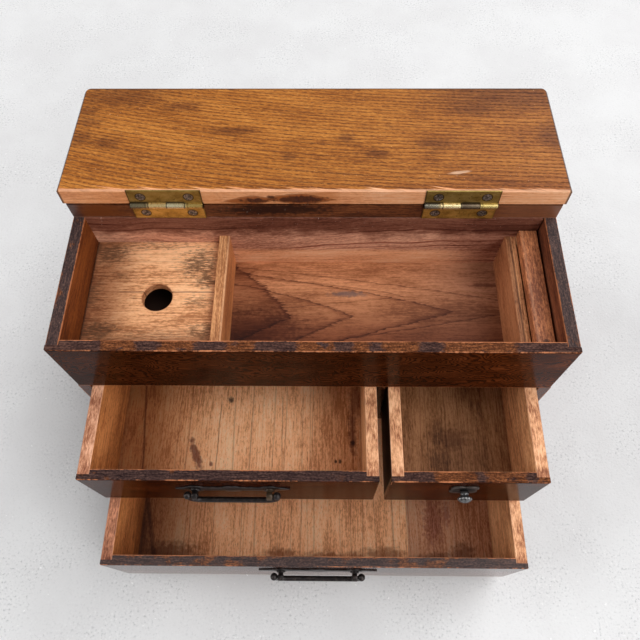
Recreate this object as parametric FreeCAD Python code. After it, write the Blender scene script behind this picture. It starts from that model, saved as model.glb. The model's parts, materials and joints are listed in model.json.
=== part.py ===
import FreeCAD, Part
import math
import os

# A wooden sewing box: a half lid on two brass butt hinges over a divided tray, two drawers side by
# side below the tray, and one wide drawer at the bottom.
# Millimetres. +X is to the right, +Y to the back and +Z up. The origin is the middle of the underside.
# The box is drawn with its lid laid open and its drawers pulled out.

# Carcass
carcass_width = 300.0
carcass_depth = 185.0
side_thickness = 7.6
base_thickness = 8.0
shelf_thickness = 8.8
partition_thickness = 5.1
right_bay_width = 96.1
back_thickness = 6.0
back_lap = 3.8
housing_depth = 3.0
corner_rebate = 3.2

# Tray
tray_front_height = 55.0
tray_front_thickness = 6.7
tray_floor_thickness = 4.5
rear_wall_thickness = 6.4
rear_wall_shrinkage = 0.9
wall_ledge = 1.1

# Fixed rear half of the top
rail_setback = 90.7
rail_depth = 14.0
rear_board_thickness = 6.5

# Tray fittings: two dividers, a board with a finger hole and a narrow cover, both of them loose
divider_drop = 18.5
left_divider_thickness = 6.7
right_divider_thickness = 6.6
hole_pocket_width = 81.0
cover_pocket_width = 13.1
hole_board_drop = 25.6
hole_board_thickness = 6.0
finger_hole_radius = 9.5
finger_hole_inset = 44.0
finger_hole_setback = 48.0
cover_drop = 11.5
cover_thickness = 6.5
ledge_width = 5.0
ledge_height = 5.0
cleat_length = 6.0
cleat_height = 6.0

# Lid
lid_thickness = 12.7
lid_overhang = 1.3
lid_corner_radius = 4.0
lid_arris_chamfer = 1.1

# Butt hinges
hinge_length = 44.0
hinge_inset = 61.6
hinge_end_knuckle = 9.25
hinge_leaf_thickness = 0.9
hinge_leaf_height = 12.5
hinge_pin_radius = 0.95
hinge_pin_offset = 0.7
hinge_pin_sink = 0.1
knuckle_radius = 1.85
knuckle_gap = 0.3
screw_inset = 7.7
screw_row = 7.4
screw_head_radius = 2.7
screw_shank_radius = 1.5
screw_length = 9.5
screw_sides = 16

# Drawers
upper_drawer_height = 55.5
bottom_drawer_height = 65.0
upper_drawer_pull_out = 59.5
bottom_drawer_pull_out = 101.3
drawer_front_thickness = 6.7
drawer_side_thickness = 7.7
drawer_back_thickness = 7.0
drawer_bottom_thickness = 5.2

# Bail pulls, one on the left drawer and a slightly larger one on the bottom drawer
left_pull_drop = 19.5
left_pull_shift = 0.8
left_bail_spacing = 55.4
left_plate_length = 72.0
bottom_pull_drop = 17.0
bottom_pull_shift = 2.8
bottom_bail_spacing = 59.4
bottom_plate_length = 81.0
plate_thickness = 1.0
plate_lobe_radius = 6.8
plate_waist = 8.4
plate_boss_radius = 7.2
plate_leaf_width = 8.0
plate_leaf_facets = 4
bail_standoff = 4.9
bail_drop = 13.0
bail_bend_radius = 8.0
bail_bend_facets = 3
bail_rod_radius = 1.8
bail_ball_radius = 2.6
bail_ball_sides = 12
bail_stub_radius = 1.1
eye_radius = 2.7
eye_width = 3.4
tongue_height = 3.4
post_collar_radius = 3.2
post_collar_thickness = 1.0
collar_sides = 16
tail_width = 2.4
clench_length = 8.0
clench_thickness = 0.9

# Knob on the right drawer
knob_drop = 17.0
knob_shift = -1.1
rose_lobes = 4
rose_lobe_radius = 5.0
rose_lobe_offset = 5.2
rose_lobe_facets = 8
rose_thickness = 1.2
knob_neck_radius = 2.2
knob_head_radius = 4.7
knob_crown_radius = 2.4
knob_head_height = 6.4
knob_projection = 8.8
knob_petals = 12
knob_groove_share = 0.86

# Rounding of the arrises
rim_radius = 0.9
inner_arris_radius = 0.5

# Clearances
lid_seat_gap = 0.3
board_gap = 0.4
cover_side_gap = 1.6
seat_gap = 0.3
drawer_side_gap = 1.0
drawer_head_gap = 1.2
drawer_seat_gap = 0.3
drawer_stop_gap = 0.3
hinge_gap = 0.3
running_gap = 0.05

# Levels and planes that follow from the sizes above
half_width = carcass_width / 2
half_inner = half_width - side_thickness
front_y = -carcass_depth / 2
back_y = carcass_depth / 2
back_panel_y = back_y - back_thickness
tray_front_inner_y = front_y + tray_front_thickness
rail_y = front_y + rail_setback
rail_back_y = rail_y + rail_depth
rear_wall_y = rail_y - wall_ledge

bottom_drawer_z = base_thickness + drawer_seat_gap
partition_x = half_inner - right_bay_width - partition_thickness
left_divider_x = hole_pocket_width - half_inner
cover_pocket_x = half_inner - cover_pocket_width

shelf_z = bottom_drawer_z + bottom_drawer_height + drawer_head_gap
shelf_top = shelf_z + shelf_thickness
upper_drawer_z = shelf_top + drawer_seat_gap
tray_floor_z = upper_drawer_z + upper_drawer_height + drawer_head_gap
tray_floor_top = tray_floor_z + tray_floor_thickness
side_top = tray_floor_z + tray_front_height

pin_y = rail_y - hinge_pin_offset
pin_z = side_top + lid_seat_gap + lid_thickness - hinge_pin_sink
lid_edge_y = pin_y - hinge_pin_offset

# The open lid lies past level, because its free edge rests on the thinner rear board
lid_reach = pin_y - front_y
lid_fall = pin_z - (side_top + rear_board_thickness + lid_seat_gap)
lid_edge_slope = math.atan2(hinge_pin_sink, lid_reach)
lid_droop = math.asin(lid_fall / math.hypot(lid_reach, hinge_pin_sink)) - lid_edge_slope
lid_opening = 180 + math.degrees(lid_droop)

EDGE_TOLERANCE = 0.01
X_AXIS = FreeCAD.Vector(1, 0, 0)
Y_AXIS = FreeCAD.Vector(0, 1, 0)
Z_AXIS = FreeCAD.Vector(0, 0, 1)


def block(x, y, z):
    """A board between three pairs of limits, each pair in any order."""
    low = FreeCAD.Vector(min(x), min(y), min(z))
    size = FreeCAD.Vector(max(x), max(y), max(z)) - low
    return Part.makeBox(size.x, size.y, size.z, low)


def cylinder(radius, start, axis, length):
    return Part.makeCylinder(radius, length, start, axis)


def extrude_outline(points, direction):
    """A prism over a closed outline of points."""
    return flat_face(points).extrude(direction)


def round_edges(shape, radius, *places):
    """Round the straight edges that lie at the given coordinates, such as {"x": 3, "z": 40}."""
    chosen = []
    for edge in shape.Edges:
        box = edge.BoundBox
        limits = {"x": (box.XMin, box.XMax), "y": (box.YMin, box.YMax), "z": (box.ZMin, box.ZMax)}
        for place in places:
            ends = [abs(end - at) for key, at in place.items() for end in limits[key]]
            if max(ends) < EDGE_TOLERANCE:
                chosen.append(edge)
                break
    return shape.makeFillet(radius, chosen)


def cut_all(shape, tools):
    for tool in tools:
        shape = shape.cut(tool)
    return shape


def fuse_all(shapes):
    return shapes[0].multiFuse(shapes[1:]).removeSplitter()


def flat_face(points):
    return Part.Face(Part.makePolygon(points + points[:1]))


def many_sided(levels, sides, groove_share=1.0):
    """A turned body with flat sides about the Y direction, given as (radius, y) levels from end to end.

    A groove share below one draws in every other corner, which makes ridges and grooves.
    """
    rings = []
    for radius, y in levels:
        ring = []
        for index in range(sides):
            turn = 2 * math.pi * (index + 0.5) / sides
            reach = radius * groove_share if index % 2 else radius
            ring.append(FreeCAD.Vector(reach * math.cos(turn), y, reach * math.sin(turn)))
        rings.append(ring)
    faces = [flat_face(rings[0]), flat_face(rings[-1])]
    for near, far in zip(rings, rings[1:]):
        for index in range(sides):
            after = (index + 1) % sides
            faces.append(flat_face([near[index], near[after], far[after], far[index]]))
    solid = Part.Solid(Part.Shell(faces))
    if solid.Volume < 0:
        solid.reverse()
    return solid


def moved(shape, place):
    copy = shape.copy()
    copy.translate(place)
    return copy


# Carcass

def carcass_side(hand):
    """A side board, notched for the tray front, housed for the boards and rebated for the back."""
    inner = hand * half_inner
    outer = hand * half_width
    lap_y = tray_front_inner_y - corner_rebate
    outline = [
        FreeCAD.Vector(inner, front_y, 0),
        FreeCAD.Vector(inner, back_y, 0),
        FreeCAD.Vector(inner, back_y, side_top),
        FreeCAD.Vector(inner, lap_y, side_top),
        FreeCAD.Vector(inner, lap_y, tray_floor_z),
        FreeCAD.Vector(inner, front_y, tray_floor_z),
    ]
    board = extrude_outline(outline, X_AXIS * (outer - inner))
    board = round_edges(board, rim_radius, {"x": outer, "z": side_top}, {"x": outer, "y": back_y})
    board = round_edges(board, inner_arris_radius, {"x": inner, "z": side_top})
    groove_x = (inner, inner + hand * housing_depth)
    grooves = [
        block(groove_x, (front_y, back_panel_y), (0, base_thickness)),
        block(groove_x, (front_y, back_panel_y), (shelf_z, shelf_top)),
        block(groove_x, (lap_y, back_panel_y), (tray_floor_z, tray_floor_top)),
        block((inner, inner + hand * back_lap), (back_panel_y, back_y), (0, side_top)),
    ]
    return cut_all(board, grooves)


def housed_board(y, z):
    """A level board with its ends let into the side boards."""
    reach = half_inner + housing_depth
    return block((-reach, reach), y, z)


def back_panel():
    reach = half_inner + back_lap
    return block((-reach, reach), (back_panel_y, back_y), (0, side_top))


def rebated_front(x, face_y, thickness, z, end_width, floor_height):
    """A front board with its ends rebated over the side boards and its foot over the floor board."""
    inner_y = face_y + thickness
    board = block(x, (face_y, inner_y), z)
    front_arrises = [{"y": face_y, "z": z[1]}, {"x": x[0], "y": face_y}, {"x": x[1], "y": face_y}]
    board = round_edges(board, rim_radius, *front_arrises)
    board = round_edges(board, inner_arris_radius, {"y": inner_y, "z": z[1]})
    rebate_y = (inner_y - corner_rebate, inner_y)
    rebates = [
        block((x[0], x[0] + end_width), rebate_y, z),
        block((x[1] - end_width, x[1]), rebate_y, z),
        block(x, rebate_y, (z[0], z[0] + floor_height)),
    ]
    return cut_all(board, rebates)


def hinge_rail():
    """The front edge of the fixed top, planed on top to the slope of the open lid."""
    def top_z(y):
        from_pin = y - pin_y
        fall = hinge_pin_sink + lid_seat_gap + from_pin * math.sin(lid_droop)
        return pin_z - fall / math.cos(lid_droop)

    outline = [
        FreeCAD.Vector(-half_width, rail_y, side_top),
        FreeCAD.Vector(-half_width, rail_back_y, side_top),
        FreeCAD.Vector(-half_width, rail_back_y, top_z(rail_back_y)),
        FreeCAD.Vector(-half_width, rail_y, top_z(rail_y)),
    ]
    rail = extrude_outline(outline, X_AXIS * carcass_width)
    ends = [{"x": -half_width, "y": rail_y}, {"x": half_width, "y": rail_y}]
    return round_edges(rail, rim_radius, *ends)


def rear_top_board():
    top = side_top + rear_board_thickness
    board = block((-half_width, half_width), (rail_back_y, back_y), (side_top, top))
    return round_edges(board, rim_radius, {"y": back_y, "z": top})


# Tray fittings

def divider(x):
    """An upright board across the tray, between the tray front and the rear wall."""
    top = side_top - divider_drop
    board = block(x, (tray_front_inner_y, rear_wall_y), (tray_floor_top, top))
    return round_edges(board, inner_arris_radius, {"x": x[0], "z": top}, {"x": x[1], "z": top})


def finger_hole_board():
    top = side_top - hole_board_drop
    under = top - hole_board_thickness
    board = block(
        (-half_inner + board_gap, left_divider_x - board_gap),
        (tray_front_inner_y + board_gap, rear_wall_y - board_gap),
        (under, top),
    )
    hole_centre = FreeCAD.Vector(finger_hole_inset - half_inner, front_y + finger_hole_setback, under)
    hole = cylinder(finger_hole_radius, hole_centre, Z_AXIS, hole_board_thickness)
    board = board.cut(hole)
    upper_edges = [edge for edge in board.Edges if edge.BoundBox.ZMin > top - EDGE_TOLERANCE]
    upper_rim = [edge for edge in upper_edges if edge.isClosed()]
    return board.makeChamfer(inner_arris_radius, upper_rim)


def hole_board_ledges():
    """Two strips, on the left side board and on the left divider, that carry the holed board."""
    top = side_top - hole_board_drop - hole_board_thickness - seat_gap
    y = (tray_front_inner_y, rear_wall_y)
    z = (top - ledge_height, top)
    left = block((-half_inner, -half_inner + ledge_width), y, z)
    right = block((left_divider_x - ledge_width, left_divider_x), y, z)
    return Part.makeCompound([left, right])


def pocket_cover():
    top = side_top - cover_drop
    x = (cover_pocket_x + seat_gap, half_inner - cover_side_gap)
    y = (tray_front_inner_y + board_gap, rear_wall_y - board_gap)
    board = block(x, y, (top - cover_thickness, top))
    return round_edges(board, inner_arris_radius, {"x": x[0], "z": top}, {"x": x[1], "z": top})


def pocket_cleats():
    """Two blocks, one at each end of the narrow pocket, that carry its cover."""
    top = side_top - cover_drop - cover_thickness - seat_gap
    x = (cover_pocket_x, half_inner)
    z = (top - cleat_height, top)
    front = block(x, (tray_front_inner_y, tray_front_inner_y + cleat_length), z)
    rear = block(x, (rear_wall_y - cleat_length, rear_wall_y), z)
    return Part.makeCompound([front, rear])


# Lid and hinges. They are drawn with the lid shut, and the lid's pieces are then turned open.

def laid_open(shape):
    turned = shape.copy()
    turned.rotate(FreeCAD.Vector(0, pin_y, pin_z), X_AXIS, -lid_opening)
    return turned


def knuckle_spans(centre_x):
    """The four knuckle lengths of a hinge, from left to right, with the gaps between them."""
    left = centre_x - hinge_length / 2
    right = centre_x + hinge_length / 2
    joints = [left + hinge_end_knuckle, centre_x, right - hinge_end_knuckle]
    starts = [left] + [joint + knuckle_gap / 2 for joint in joints]
    ends = [joint - knuckle_gap / 2 for joint in joints] + [right]
    return list(zip(starts, ends))


def barrel(radius, x):
    """A round bar about the hinge pin's line, between two places along it."""
    return cylinder(radius, FreeCAD.Vector(x[0], pin_y, pin_z), X_AXIS, x[1] - x[0])


def screw_places(centre_x, toward):
    """Where the screw heads lie flush in a leaf; toward is +1 for the rail's leaf and -1 for the lid's."""
    face_y = pin_y + toward * hinge_gap / 2
    reach = hinge_length / 2 - screw_inset
    return [FreeCAD.Vector(centre_x + side * reach, face_y, pin_z - screw_row) for side in (-1, 1)]


def screw_body(place, toward, gap):
    """A countersunk screw as deep in the head as the leaf is thick, or with a gap the hole for it."""
    levels = [
        (screw_head_radius + gap, 0),
        (screw_shank_radius + gap, toward * hinge_leaf_thickness),
        (screw_shank_radius + gap, toward * (screw_length + gap)),
    ]
    return moved(many_sided(levels, screw_sides), place)


def hinge_leaf(centre_x, toward):
    """A leaf with two knuckles rolled on its edge, notched round the two knuckles of the other leaf."""
    spans = knuckle_spans(centre_x)
    own = spans[0::2] if toward > 0 else spans[1::2]
    other = spans[1::2] if toward > 0 else spans[0::2]
    near_y = pin_y + toward * hinge_gap / 2
    far_y = near_y + toward * hinge_leaf_thickness
    x = (centre_x - hinge_length / 2, centre_x + hinge_length / 2)
    plate = block(x, (near_y, far_y), (pin_z - hinge_leaf_height, pin_z))
    knuckles = [barrel(knuckle_radius, span) for span in own]
    notches = [barrel(knuckle_radius + hinge_gap, (a - knuckle_gap, b + knuckle_gap)) for a, b in other]
    plate = cut_all(plate, notches)
    leaf = fuse_all([plate] + knuckles)
    leaf = leaf.cut(barrel(hinge_pin_radius + running_gap, x))
    holes = [screw_body(place, toward, running_gap) for place in screw_places(centre_x, toward)]
    return cut_all(leaf, holes)


def hinge_recess(centre_x, toward):
    """The shallow mortise for a leaf, the hollow for the barrel and the pilot holes for the screws."""
    near_y = pin_y + toward * hinge_gap / 2
    far_y = near_y + toward * hinge_leaf_thickness
    x = (centre_x - hinge_length / 2 - running_gap, centre_x + hinge_length / 2 + running_gap)
    mortise = block(x, (near_y, far_y), (pin_z - hinge_leaf_height - running_gap, pin_z))
    hollow_x = (x[0] - hinge_gap, x[1] + hinge_gap)
    hollow = barrel(knuckle_radius + hinge_gap, hollow_x)
    pilots = [screw_body(place, toward, running_gap) for place in screw_places(centre_x, toward)]
    return [mortise, hollow] + pilots


def lid_board():
    """The lid, rounded at the two corners of its free edge and eased on every level arris."""
    half = half_width + lid_overhang
    low = side_top + lid_seat_gap
    high = low + lid_thickness
    board = block((-half, half), (front_y, lid_edge_y), (low, high))
    board = round_edges(board, lid_corner_radius, {"x": -half, "y": front_y}, {"x": half, "y": front_y})
    rims = []
    for edge in board.Edges:
        level = edge.BoundBox.ZMax - edge.BoundBox.ZMin < EDGE_TOLERANCE
        if level:
            rims.append(edge)
    return board.makeChamfer(lid_arris_chamfer, rims)


def hinge_pin(centre_x):
    return barrel(hinge_pin_radius, (centre_x - hinge_length / 2, centre_x + hinge_length / 2))


# Drawers

def drawer_boards(x, z_low, height, pull_out):
    """The five boards of a drawer, named by their place in it."""
    face_y = front_y - pull_out
    end_y = face_y + carcass_depth - back_thickness - drawer_stop_gap
    inner_y = face_y + drawer_front_thickness
    rebate_y = inner_y - corner_rebate
    floor_top = z_low + drawer_bottom_thickness
    top = z_low + height
    boards = {}
    boards["front"] = rebated_front(
        x, face_y, drawer_front_thickness, (z_low, top), drawer_side_thickness, drawer_bottom_thickness
    )
    for name, outer, inward in (("left_side", x[0], 1), ("right_side", x[1], -1)):
        inner = outer + inward * drawer_side_thickness
        side = block((outer, inner), (rebate_y, end_y), (floor_top, top))
        boards[name] = round_edges(side, inner_arris_radius, {"x": outer, "z": top}, {"x": inner, "z": top})
    inner_x = (x[0] + drawer_side_thickness, x[1] - drawer_side_thickness)
    back = block(inner_x, (end_y - drawer_back_thickness, end_y), (floor_top, top))
    boards["back"] = round_edges(back, inner_arris_radius, {"y": end_y - drawer_back_thickness, "z": top})
    boards["bottom"] = block(x, (rebate_y, end_y), (z_low, floor_top))
    return boards


# Bail pulls. They are drawn about the middle of the pull, on the drawer front's face.

def pull_plate(spacing, length):
    """A slim pierced plate: a lobe behind each post, a boss in the middle and a leaf at each end."""
    def disc(x, radius):
        return cylinder(radius, FreeCAD.Vector(x, 0, 0), -Y_AXIS, plate_thickness)

    post_x = post_offset(spacing)
    waist = block((-post_x, post_x), (-plate_thickness, 0), (-plate_waist / 2, plate_waist / 2))
    pieces = [waist, disc(0, plate_boss_radius)]
    for side in (-1, 1):
        pieces.append(disc(side * post_x, plate_lobe_radius))
        pieces.append(leaf_end(side * post_x, side * length / 2))
    plate = fuse_all(pieces)
    return cut_all(plate, [tail_hole(side * post_x, -plate_thickness, 0) for side in (-1, 1)])


def leaf_end(base_x, tip_x):
    """A pointed leaf with two bowed edges, drawn in short straight lengths from a lobe's middle."""
    leaf_length = abs(tip_x - base_x)
    half_height = plate_leaf_width / 2
    bow_radius = (leaf_length ** 2 + half_height ** 2) / (2 * half_height)
    bow_turn = math.asin(leaf_length / bow_radius)
    upper = []
    for step in range(plate_leaf_facets + 1):
        turn = bow_turn * step / plate_leaf_facets
        x = base_x + math.copysign(bow_radius * math.sin(turn), tip_x - base_x)
        upper.append(FreeCAD.Vector(x, 0, half_height - bow_radius * (1 - math.cos(turn))))
    lower = [FreeCAD.Vector(point.x, 0, -point.z) for point in reversed(upper[:-1])]
    return extrude_outline(upper + lower, Y_AXIS * -plate_thickness)


def post_offset(spacing):
    """From the pull's middle to the middle of a post: the ball lies just outside the post's eye."""
    return spacing / 2 - bail_ball_radius - hinge_gap - eye_width / 2


def tail_hole(x, start_y, end_y):
    """The square hole for a tail, through a plate or the drawer front."""
    half = tail_width / 2 + running_gap
    return block((x - half, x + half), (start_y, end_y), (-half, half))


def clenched_tail(x, start_y):
    """A square tail through the drawer front, with its end bent up and down against the back of it."""
    half = tail_width / 2
    clench_y = drawer_front_thickness
    tail = block((x - half, x + half), (start_y, clench_y), (-half, half))
    half_clench = clench_length / 2
    clench_limits = (clench_y, clench_y + clench_thickness)
    clench = block((x - half, x + half), clench_limits, (-half_clench, half_clench))
    return [tail, clench]


def pull_post(x):
    """A collared post: a flat tongue with an eye for the bail in front, and a clenched tail behind."""
    collar_y = -plate_thickness - post_collar_thickness
    collar_levels = [(post_collar_radius, -plate_thickness), (post_collar_radius, collar_y)]
    collar = moved(many_sided(collar_levels, collar_sides), X_AXIS * x)
    eye_start = FreeCAD.Vector(x - eye_width / 2, -bail_standoff, 0)
    tongue = block(
        (x - eye_width / 2, x + eye_width / 2),
        (-bail_standoff, collar_y),
        (-tongue_height / 2, tongue_height / 2),
    )
    eye = cylinder(eye_radius, eye_start, X_AXIS, eye_width)
    bore = cylinder(bail_stub_radius + running_gap, eye_start, X_AXIS, eye_width)
    return fuse_all([collar, tongue, eye] + clenched_tail(x, -plate_thickness)).cut(bore)


def pull_posts(spacing):
    return Part.makeCompound([pull_post(side * post_offset(spacing)) for side in (-1, 1)])


def pull_bail(spacing):
    """The swinging handle: one rod, bent in short straight facets, with a ball and a stub at each end."""
    half = spacing / 2
    turn = math.pi / 2 / bail_bend_facets
    corner_reach = bail_bend_radius / math.cos(turn / 2)
    left_half = [(-half, 0)]
    for index in range(bail_bend_facets):
        angle = turn * (index + 0.5)
        x = -half + bail_bend_radius - corner_reach * math.cos(angle)
        z = bail_bend_radius - bail_drop - corner_reach * math.sin(angle)
        left_half.append((x, z))
    right_half = [(-x, z) for x, z in reversed(left_half)]
    path_points = [FreeCAD.Vector(x, -bail_standoff, z) for x, z in left_half + right_half]
    path = Part.makePolygon(path_points)
    section = Part.Wire(Part.Circle(path_points[0], Z_AXIS, bail_rod_radius).toShape())
    mitred = 1
    pieces = [path.makePipeShell([section], True, False, mitred)]
    for side in (-1, 1):
        end = FreeCAD.Vector(side * half, -bail_standoff, 0)
        pieces.append(moved(many_sided(ball_levels(bail_ball_radius), bail_ball_sides), end))
        stub_length = bail_ball_radius + hinge_gap + eye_width + hinge_gap
        pieces.append(cylinder(bail_stub_radius, end, X_AXIS * -side, stub_length))
    return fuse_all(pieces)


def ball_levels(radius):
    latitudes = [math.radians(degrees) for degrees in (-67.5, -22.5, 22.5, 67.5)]
    return [(radius * math.cos(latitude), radius * math.sin(latitude)) for latitude in latitudes]


# Knob

def knob_rose():
    """A plate with four broad lobes, each drawn in short straight lengths, and a square hole."""
    half_share = math.pi / rose_lobes
    along = rose_lobe_offset * math.cos(half_share)
    cusp_reach = along + math.sqrt(rose_lobe_radius ** 2 - (rose_lobe_offset * math.sin(half_share)) ** 2)
    half_sweep = math.acos((cusp_reach * math.cos(half_share) - rose_lobe_offset) / rose_lobe_radius)
    outline = []
    for lobe in range(rose_lobes):
        facing = half_share * (2 * lobe + 1)
        centre = FreeCAD.Vector(math.cos(facing), 0, math.sin(facing)) * rose_lobe_offset
        for step in range(rose_lobe_facets):
            turn = facing + half_sweep * (2 * step / rose_lobe_facets - 1)
            outline.append(centre + FreeCAD.Vector(math.cos(turn), 0, math.sin(turn)) * rose_lobe_radius)
    return extrude_outline(outline, Y_AXIS * -rose_thickness).cut(tail_hole(0, -rose_thickness, 0))


def knob():
    """A ridged knob that flares from a neck to a broad head, on a tail clenched behind the front."""
    levels = [
        (knob_crown_radius, -knob_projection),
        (knob_head_radius * 0.9, -(knob_projection + knob_head_height) / 2),
        (knob_head_radius, -knob_head_height),
        (knob_neck_radius, -rose_thickness),
    ]
    head = many_sided(levels, 2 * knob_petals, knob_groove_share)
    return fuse_all([head] + clenched_tail(0, -rose_thickness))


# The whole box

nodes = {}

for hand, name in ((-1, "left"), (1, "right")):
    nodes[name + "_side"] = carcass_side(hand)
nodes["base_board"] = housed_board((front_y, back_panel_y), (0, base_thickness))
nodes["drawer_shelf"] = housed_board((front_y, back_panel_y), (shelf_z, shelf_top))
tray_floor_y = (tray_front_inner_y - corner_rebate, back_panel_y)
nodes["tray_floor"] = housed_board(tray_floor_y, (tray_floor_z, tray_floor_top))
nodes["back_panel"] = back_panel()
nodes["drawer_partition"] = block(
    (partition_x, partition_x + partition_thickness), (front_y, back_panel_y), (shelf_top, tray_floor_z)
)
front_x = (-half_width, half_width)
front_z = (tray_floor_z, side_top)
nodes["tray_front"] = rebated_front(
    front_x, front_y, tray_front_thickness, front_z, side_thickness, tray_floor_thickness
)
nodes["tray_rear_wall"] = block(
    (-half_inner, half_inner - rear_wall_shrinkage),
    (rear_wall_y, rear_wall_y + rear_wall_thickness),
    (tray_floor_top, side_top),
)
nodes["rear_top_board"] = rear_top_board()

nodes["left_divider"] = divider((left_divider_x, left_divider_x + left_divider_thickness))
nodes["right_divider"] = divider((cover_pocket_x - right_divider_thickness, cover_pocket_x))
nodes["hole_board_ledges"] = hole_board_ledges()
nodes["finger_hole_board"] = finger_hole_board()
nodes["pocket_cleats"] = pocket_cleats()
nodes["pocket_cover"] = pocket_cover()

rail = hinge_rail()
lid = lid_board()
rail_screws = []
lid_screws = []
for hand, name in ((-1, "left"), (1, "right")):
    centre_x = hand * (half_width - hinge_inset)
    rail = cut_all(rail, hinge_recess(centre_x, 1))
    lid = cut_all(lid, hinge_recess(centre_x, -1))
    nodes[name + "_hinge_rail_leaf"] = hinge_leaf(centre_x, 1)
    nodes[name + "_hinge_lid_leaf"] = laid_open(hinge_leaf(centre_x, -1))
    nodes[name + "_hinge_pin"] = hinge_pin(centre_x)
    rail_screws += [screw_body(place, 1, 0) for place in screw_places(centre_x, 1)]
    lid_screws += [screw_body(place, -1, 0) for place in screw_places(centre_x, -1)]
nodes["hinge_rail"] = rail
nodes["lid"] = laid_open(lid)
nodes["hinge_screws_rail"] = Part.makeCompound(rail_screws)
nodes["hinge_screws_lid"] = laid_open(Part.makeCompound(lid_screws))

bay_x = (-half_inner + drawer_side_gap, half_inner - drawer_side_gap)
left_bay_end = partition_x - drawer_side_gap
right_bay_start = partition_x + partition_thickness + drawer_side_gap
upper_drawer = (upper_drawer_z, upper_drawer_height, upper_drawer_pull_out)
bottom_drawer = (bottom_drawer_z, bottom_drawer_height, bottom_drawer_pull_out)
drawers = {
    "left_drawer": ((bay_x[0], left_bay_end), upper_drawer),
    "right_drawer": ((right_bay_start, bay_x[1]), upper_drawer),
    "bottom_drawer": (bay_x, bottom_drawer),
}
handles = {
    "left_drawer": ("left_pull", left_pull_shift, left_pull_drop),
    "right_drawer": ("knob", knob_shift, knob_drop),
    "bottom_drawer": ("bottom_pull", bottom_pull_shift, bottom_pull_drop),
}
pull_sizes = {
    "left_pull": (left_bail_spacing, left_plate_length),
    "bottom_pull": (bottom_bail_spacing, bottom_plate_length),
}
for drawer, (x, (z_low, height, pull_out)) in drawers.items():
    boards = drawer_boards(x, z_low, height, pull_out)
    handle, shift, drop = handles[drawer]
    place = FreeCAD.Vector((x[0] + x[1]) / 2 + shift, front_y - pull_out, z_low + height - drop)
    if handle == "knob":
        nodes["knob_rose"] = moved(knob_rose(), place)
        nodes["knob"] = moved(knob(), place)
        tail_places = [0]
    else:
        spacing, plate_length = pull_sizes[handle]
        nodes[handle + "_plate"] = moved(pull_plate(spacing, plate_length), place)
        nodes[handle + "_posts"] = moved(pull_posts(spacing), place)
        nodes[handle + "_bail"] = moved(pull_bail(spacing), place)
        tail_places = [-post_offset(spacing), post_offset(spacing)]
    tail_holes = [moved(tail_hole(tail_x, 0, drawer_front_thickness), place) for tail_x in tail_places]
    boards["front"] = cut_all(boards["front"], tail_holes)
    for board, shape in boards.items():
        nodes[drawer + "_" + board] = shape

os.makedirs("parts", exist_ok=True)
for name, shape in nodes.items():
    shape.exportStep("parts/" + name + ".step")
print(len(nodes), "pieces written; the open lid lies", round(lid_opening, 2), "degrees from shut")
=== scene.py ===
# %% [markdown]
# # A wooden sewing box
#
# The box has a half lid that lies open on two brass hinges, a divided tray, two drawers below the tray
# and one wide drawer at the bottom. Its boards come from the CAD frame, because a board's shape is
# already right there. What makes them look like old wood is paint: every board gets a finish that is
# worked out from its own coordinates. The small metal pieces are modelled here, because they are round
# and soft in ways that flat-sided solids aren't.

# %% Load the frame
import json
import math

import bmesh
import bpy
from mathutils import Matrix, Vector


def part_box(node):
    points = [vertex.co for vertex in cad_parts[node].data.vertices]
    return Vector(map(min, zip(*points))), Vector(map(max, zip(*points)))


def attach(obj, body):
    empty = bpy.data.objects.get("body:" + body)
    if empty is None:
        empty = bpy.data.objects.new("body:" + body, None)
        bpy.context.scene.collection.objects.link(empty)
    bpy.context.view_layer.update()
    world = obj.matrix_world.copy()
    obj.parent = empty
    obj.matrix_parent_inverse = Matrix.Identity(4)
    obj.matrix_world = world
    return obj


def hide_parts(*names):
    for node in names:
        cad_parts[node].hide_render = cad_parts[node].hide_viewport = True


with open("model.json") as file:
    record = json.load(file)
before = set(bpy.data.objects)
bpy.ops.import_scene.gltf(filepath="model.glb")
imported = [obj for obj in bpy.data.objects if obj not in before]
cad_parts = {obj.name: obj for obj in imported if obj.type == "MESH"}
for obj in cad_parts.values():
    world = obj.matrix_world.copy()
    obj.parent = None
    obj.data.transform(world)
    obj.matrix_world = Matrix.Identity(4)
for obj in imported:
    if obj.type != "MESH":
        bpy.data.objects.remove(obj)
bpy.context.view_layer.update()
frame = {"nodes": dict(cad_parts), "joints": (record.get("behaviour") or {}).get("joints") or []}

nodes = frame["nodes"]

# %% [markdown]
# ## Camera
#
# The picture was taken from above, in front of the box and a little to its right. The camera's place, its
# tilt and its angle of view were found from the straight edges of the boards, so they are set as
# numbers. The camera's own axes are the columns of its matrix: right, up and backwards.

# %% Place the camera
MM = 0.001
camera_place = Vector((8.9, -230.9, 513.5)) * MM
camera_pitch = math.radians(63.56)
camera_yaw = math.radians(-1.59)
camera_roll = math.radians(-1.19)
PICTURE_WIDTH, FOCAL_PIXELS = 640, 623.8
SENSOR = 36
camera_lens = FOCAL_PIXELS / PICTURE_WIDTH * SENSOR

looking = Vector((
    math.sin(camera_yaw) * math.cos(camera_pitch),
    math.cos(camera_yaw) * math.cos(camera_pitch),
    -math.sin(camera_pitch),
))
level_right = looking.cross(Vector((0, 0, 1))).normalized()
level_up = level_right.cross(looking)
right = level_right * math.cos(camera_roll) + level_up * math.sin(camera_roll)
up = level_up * math.cos(camera_roll) - level_right * math.sin(camera_roll)

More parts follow.
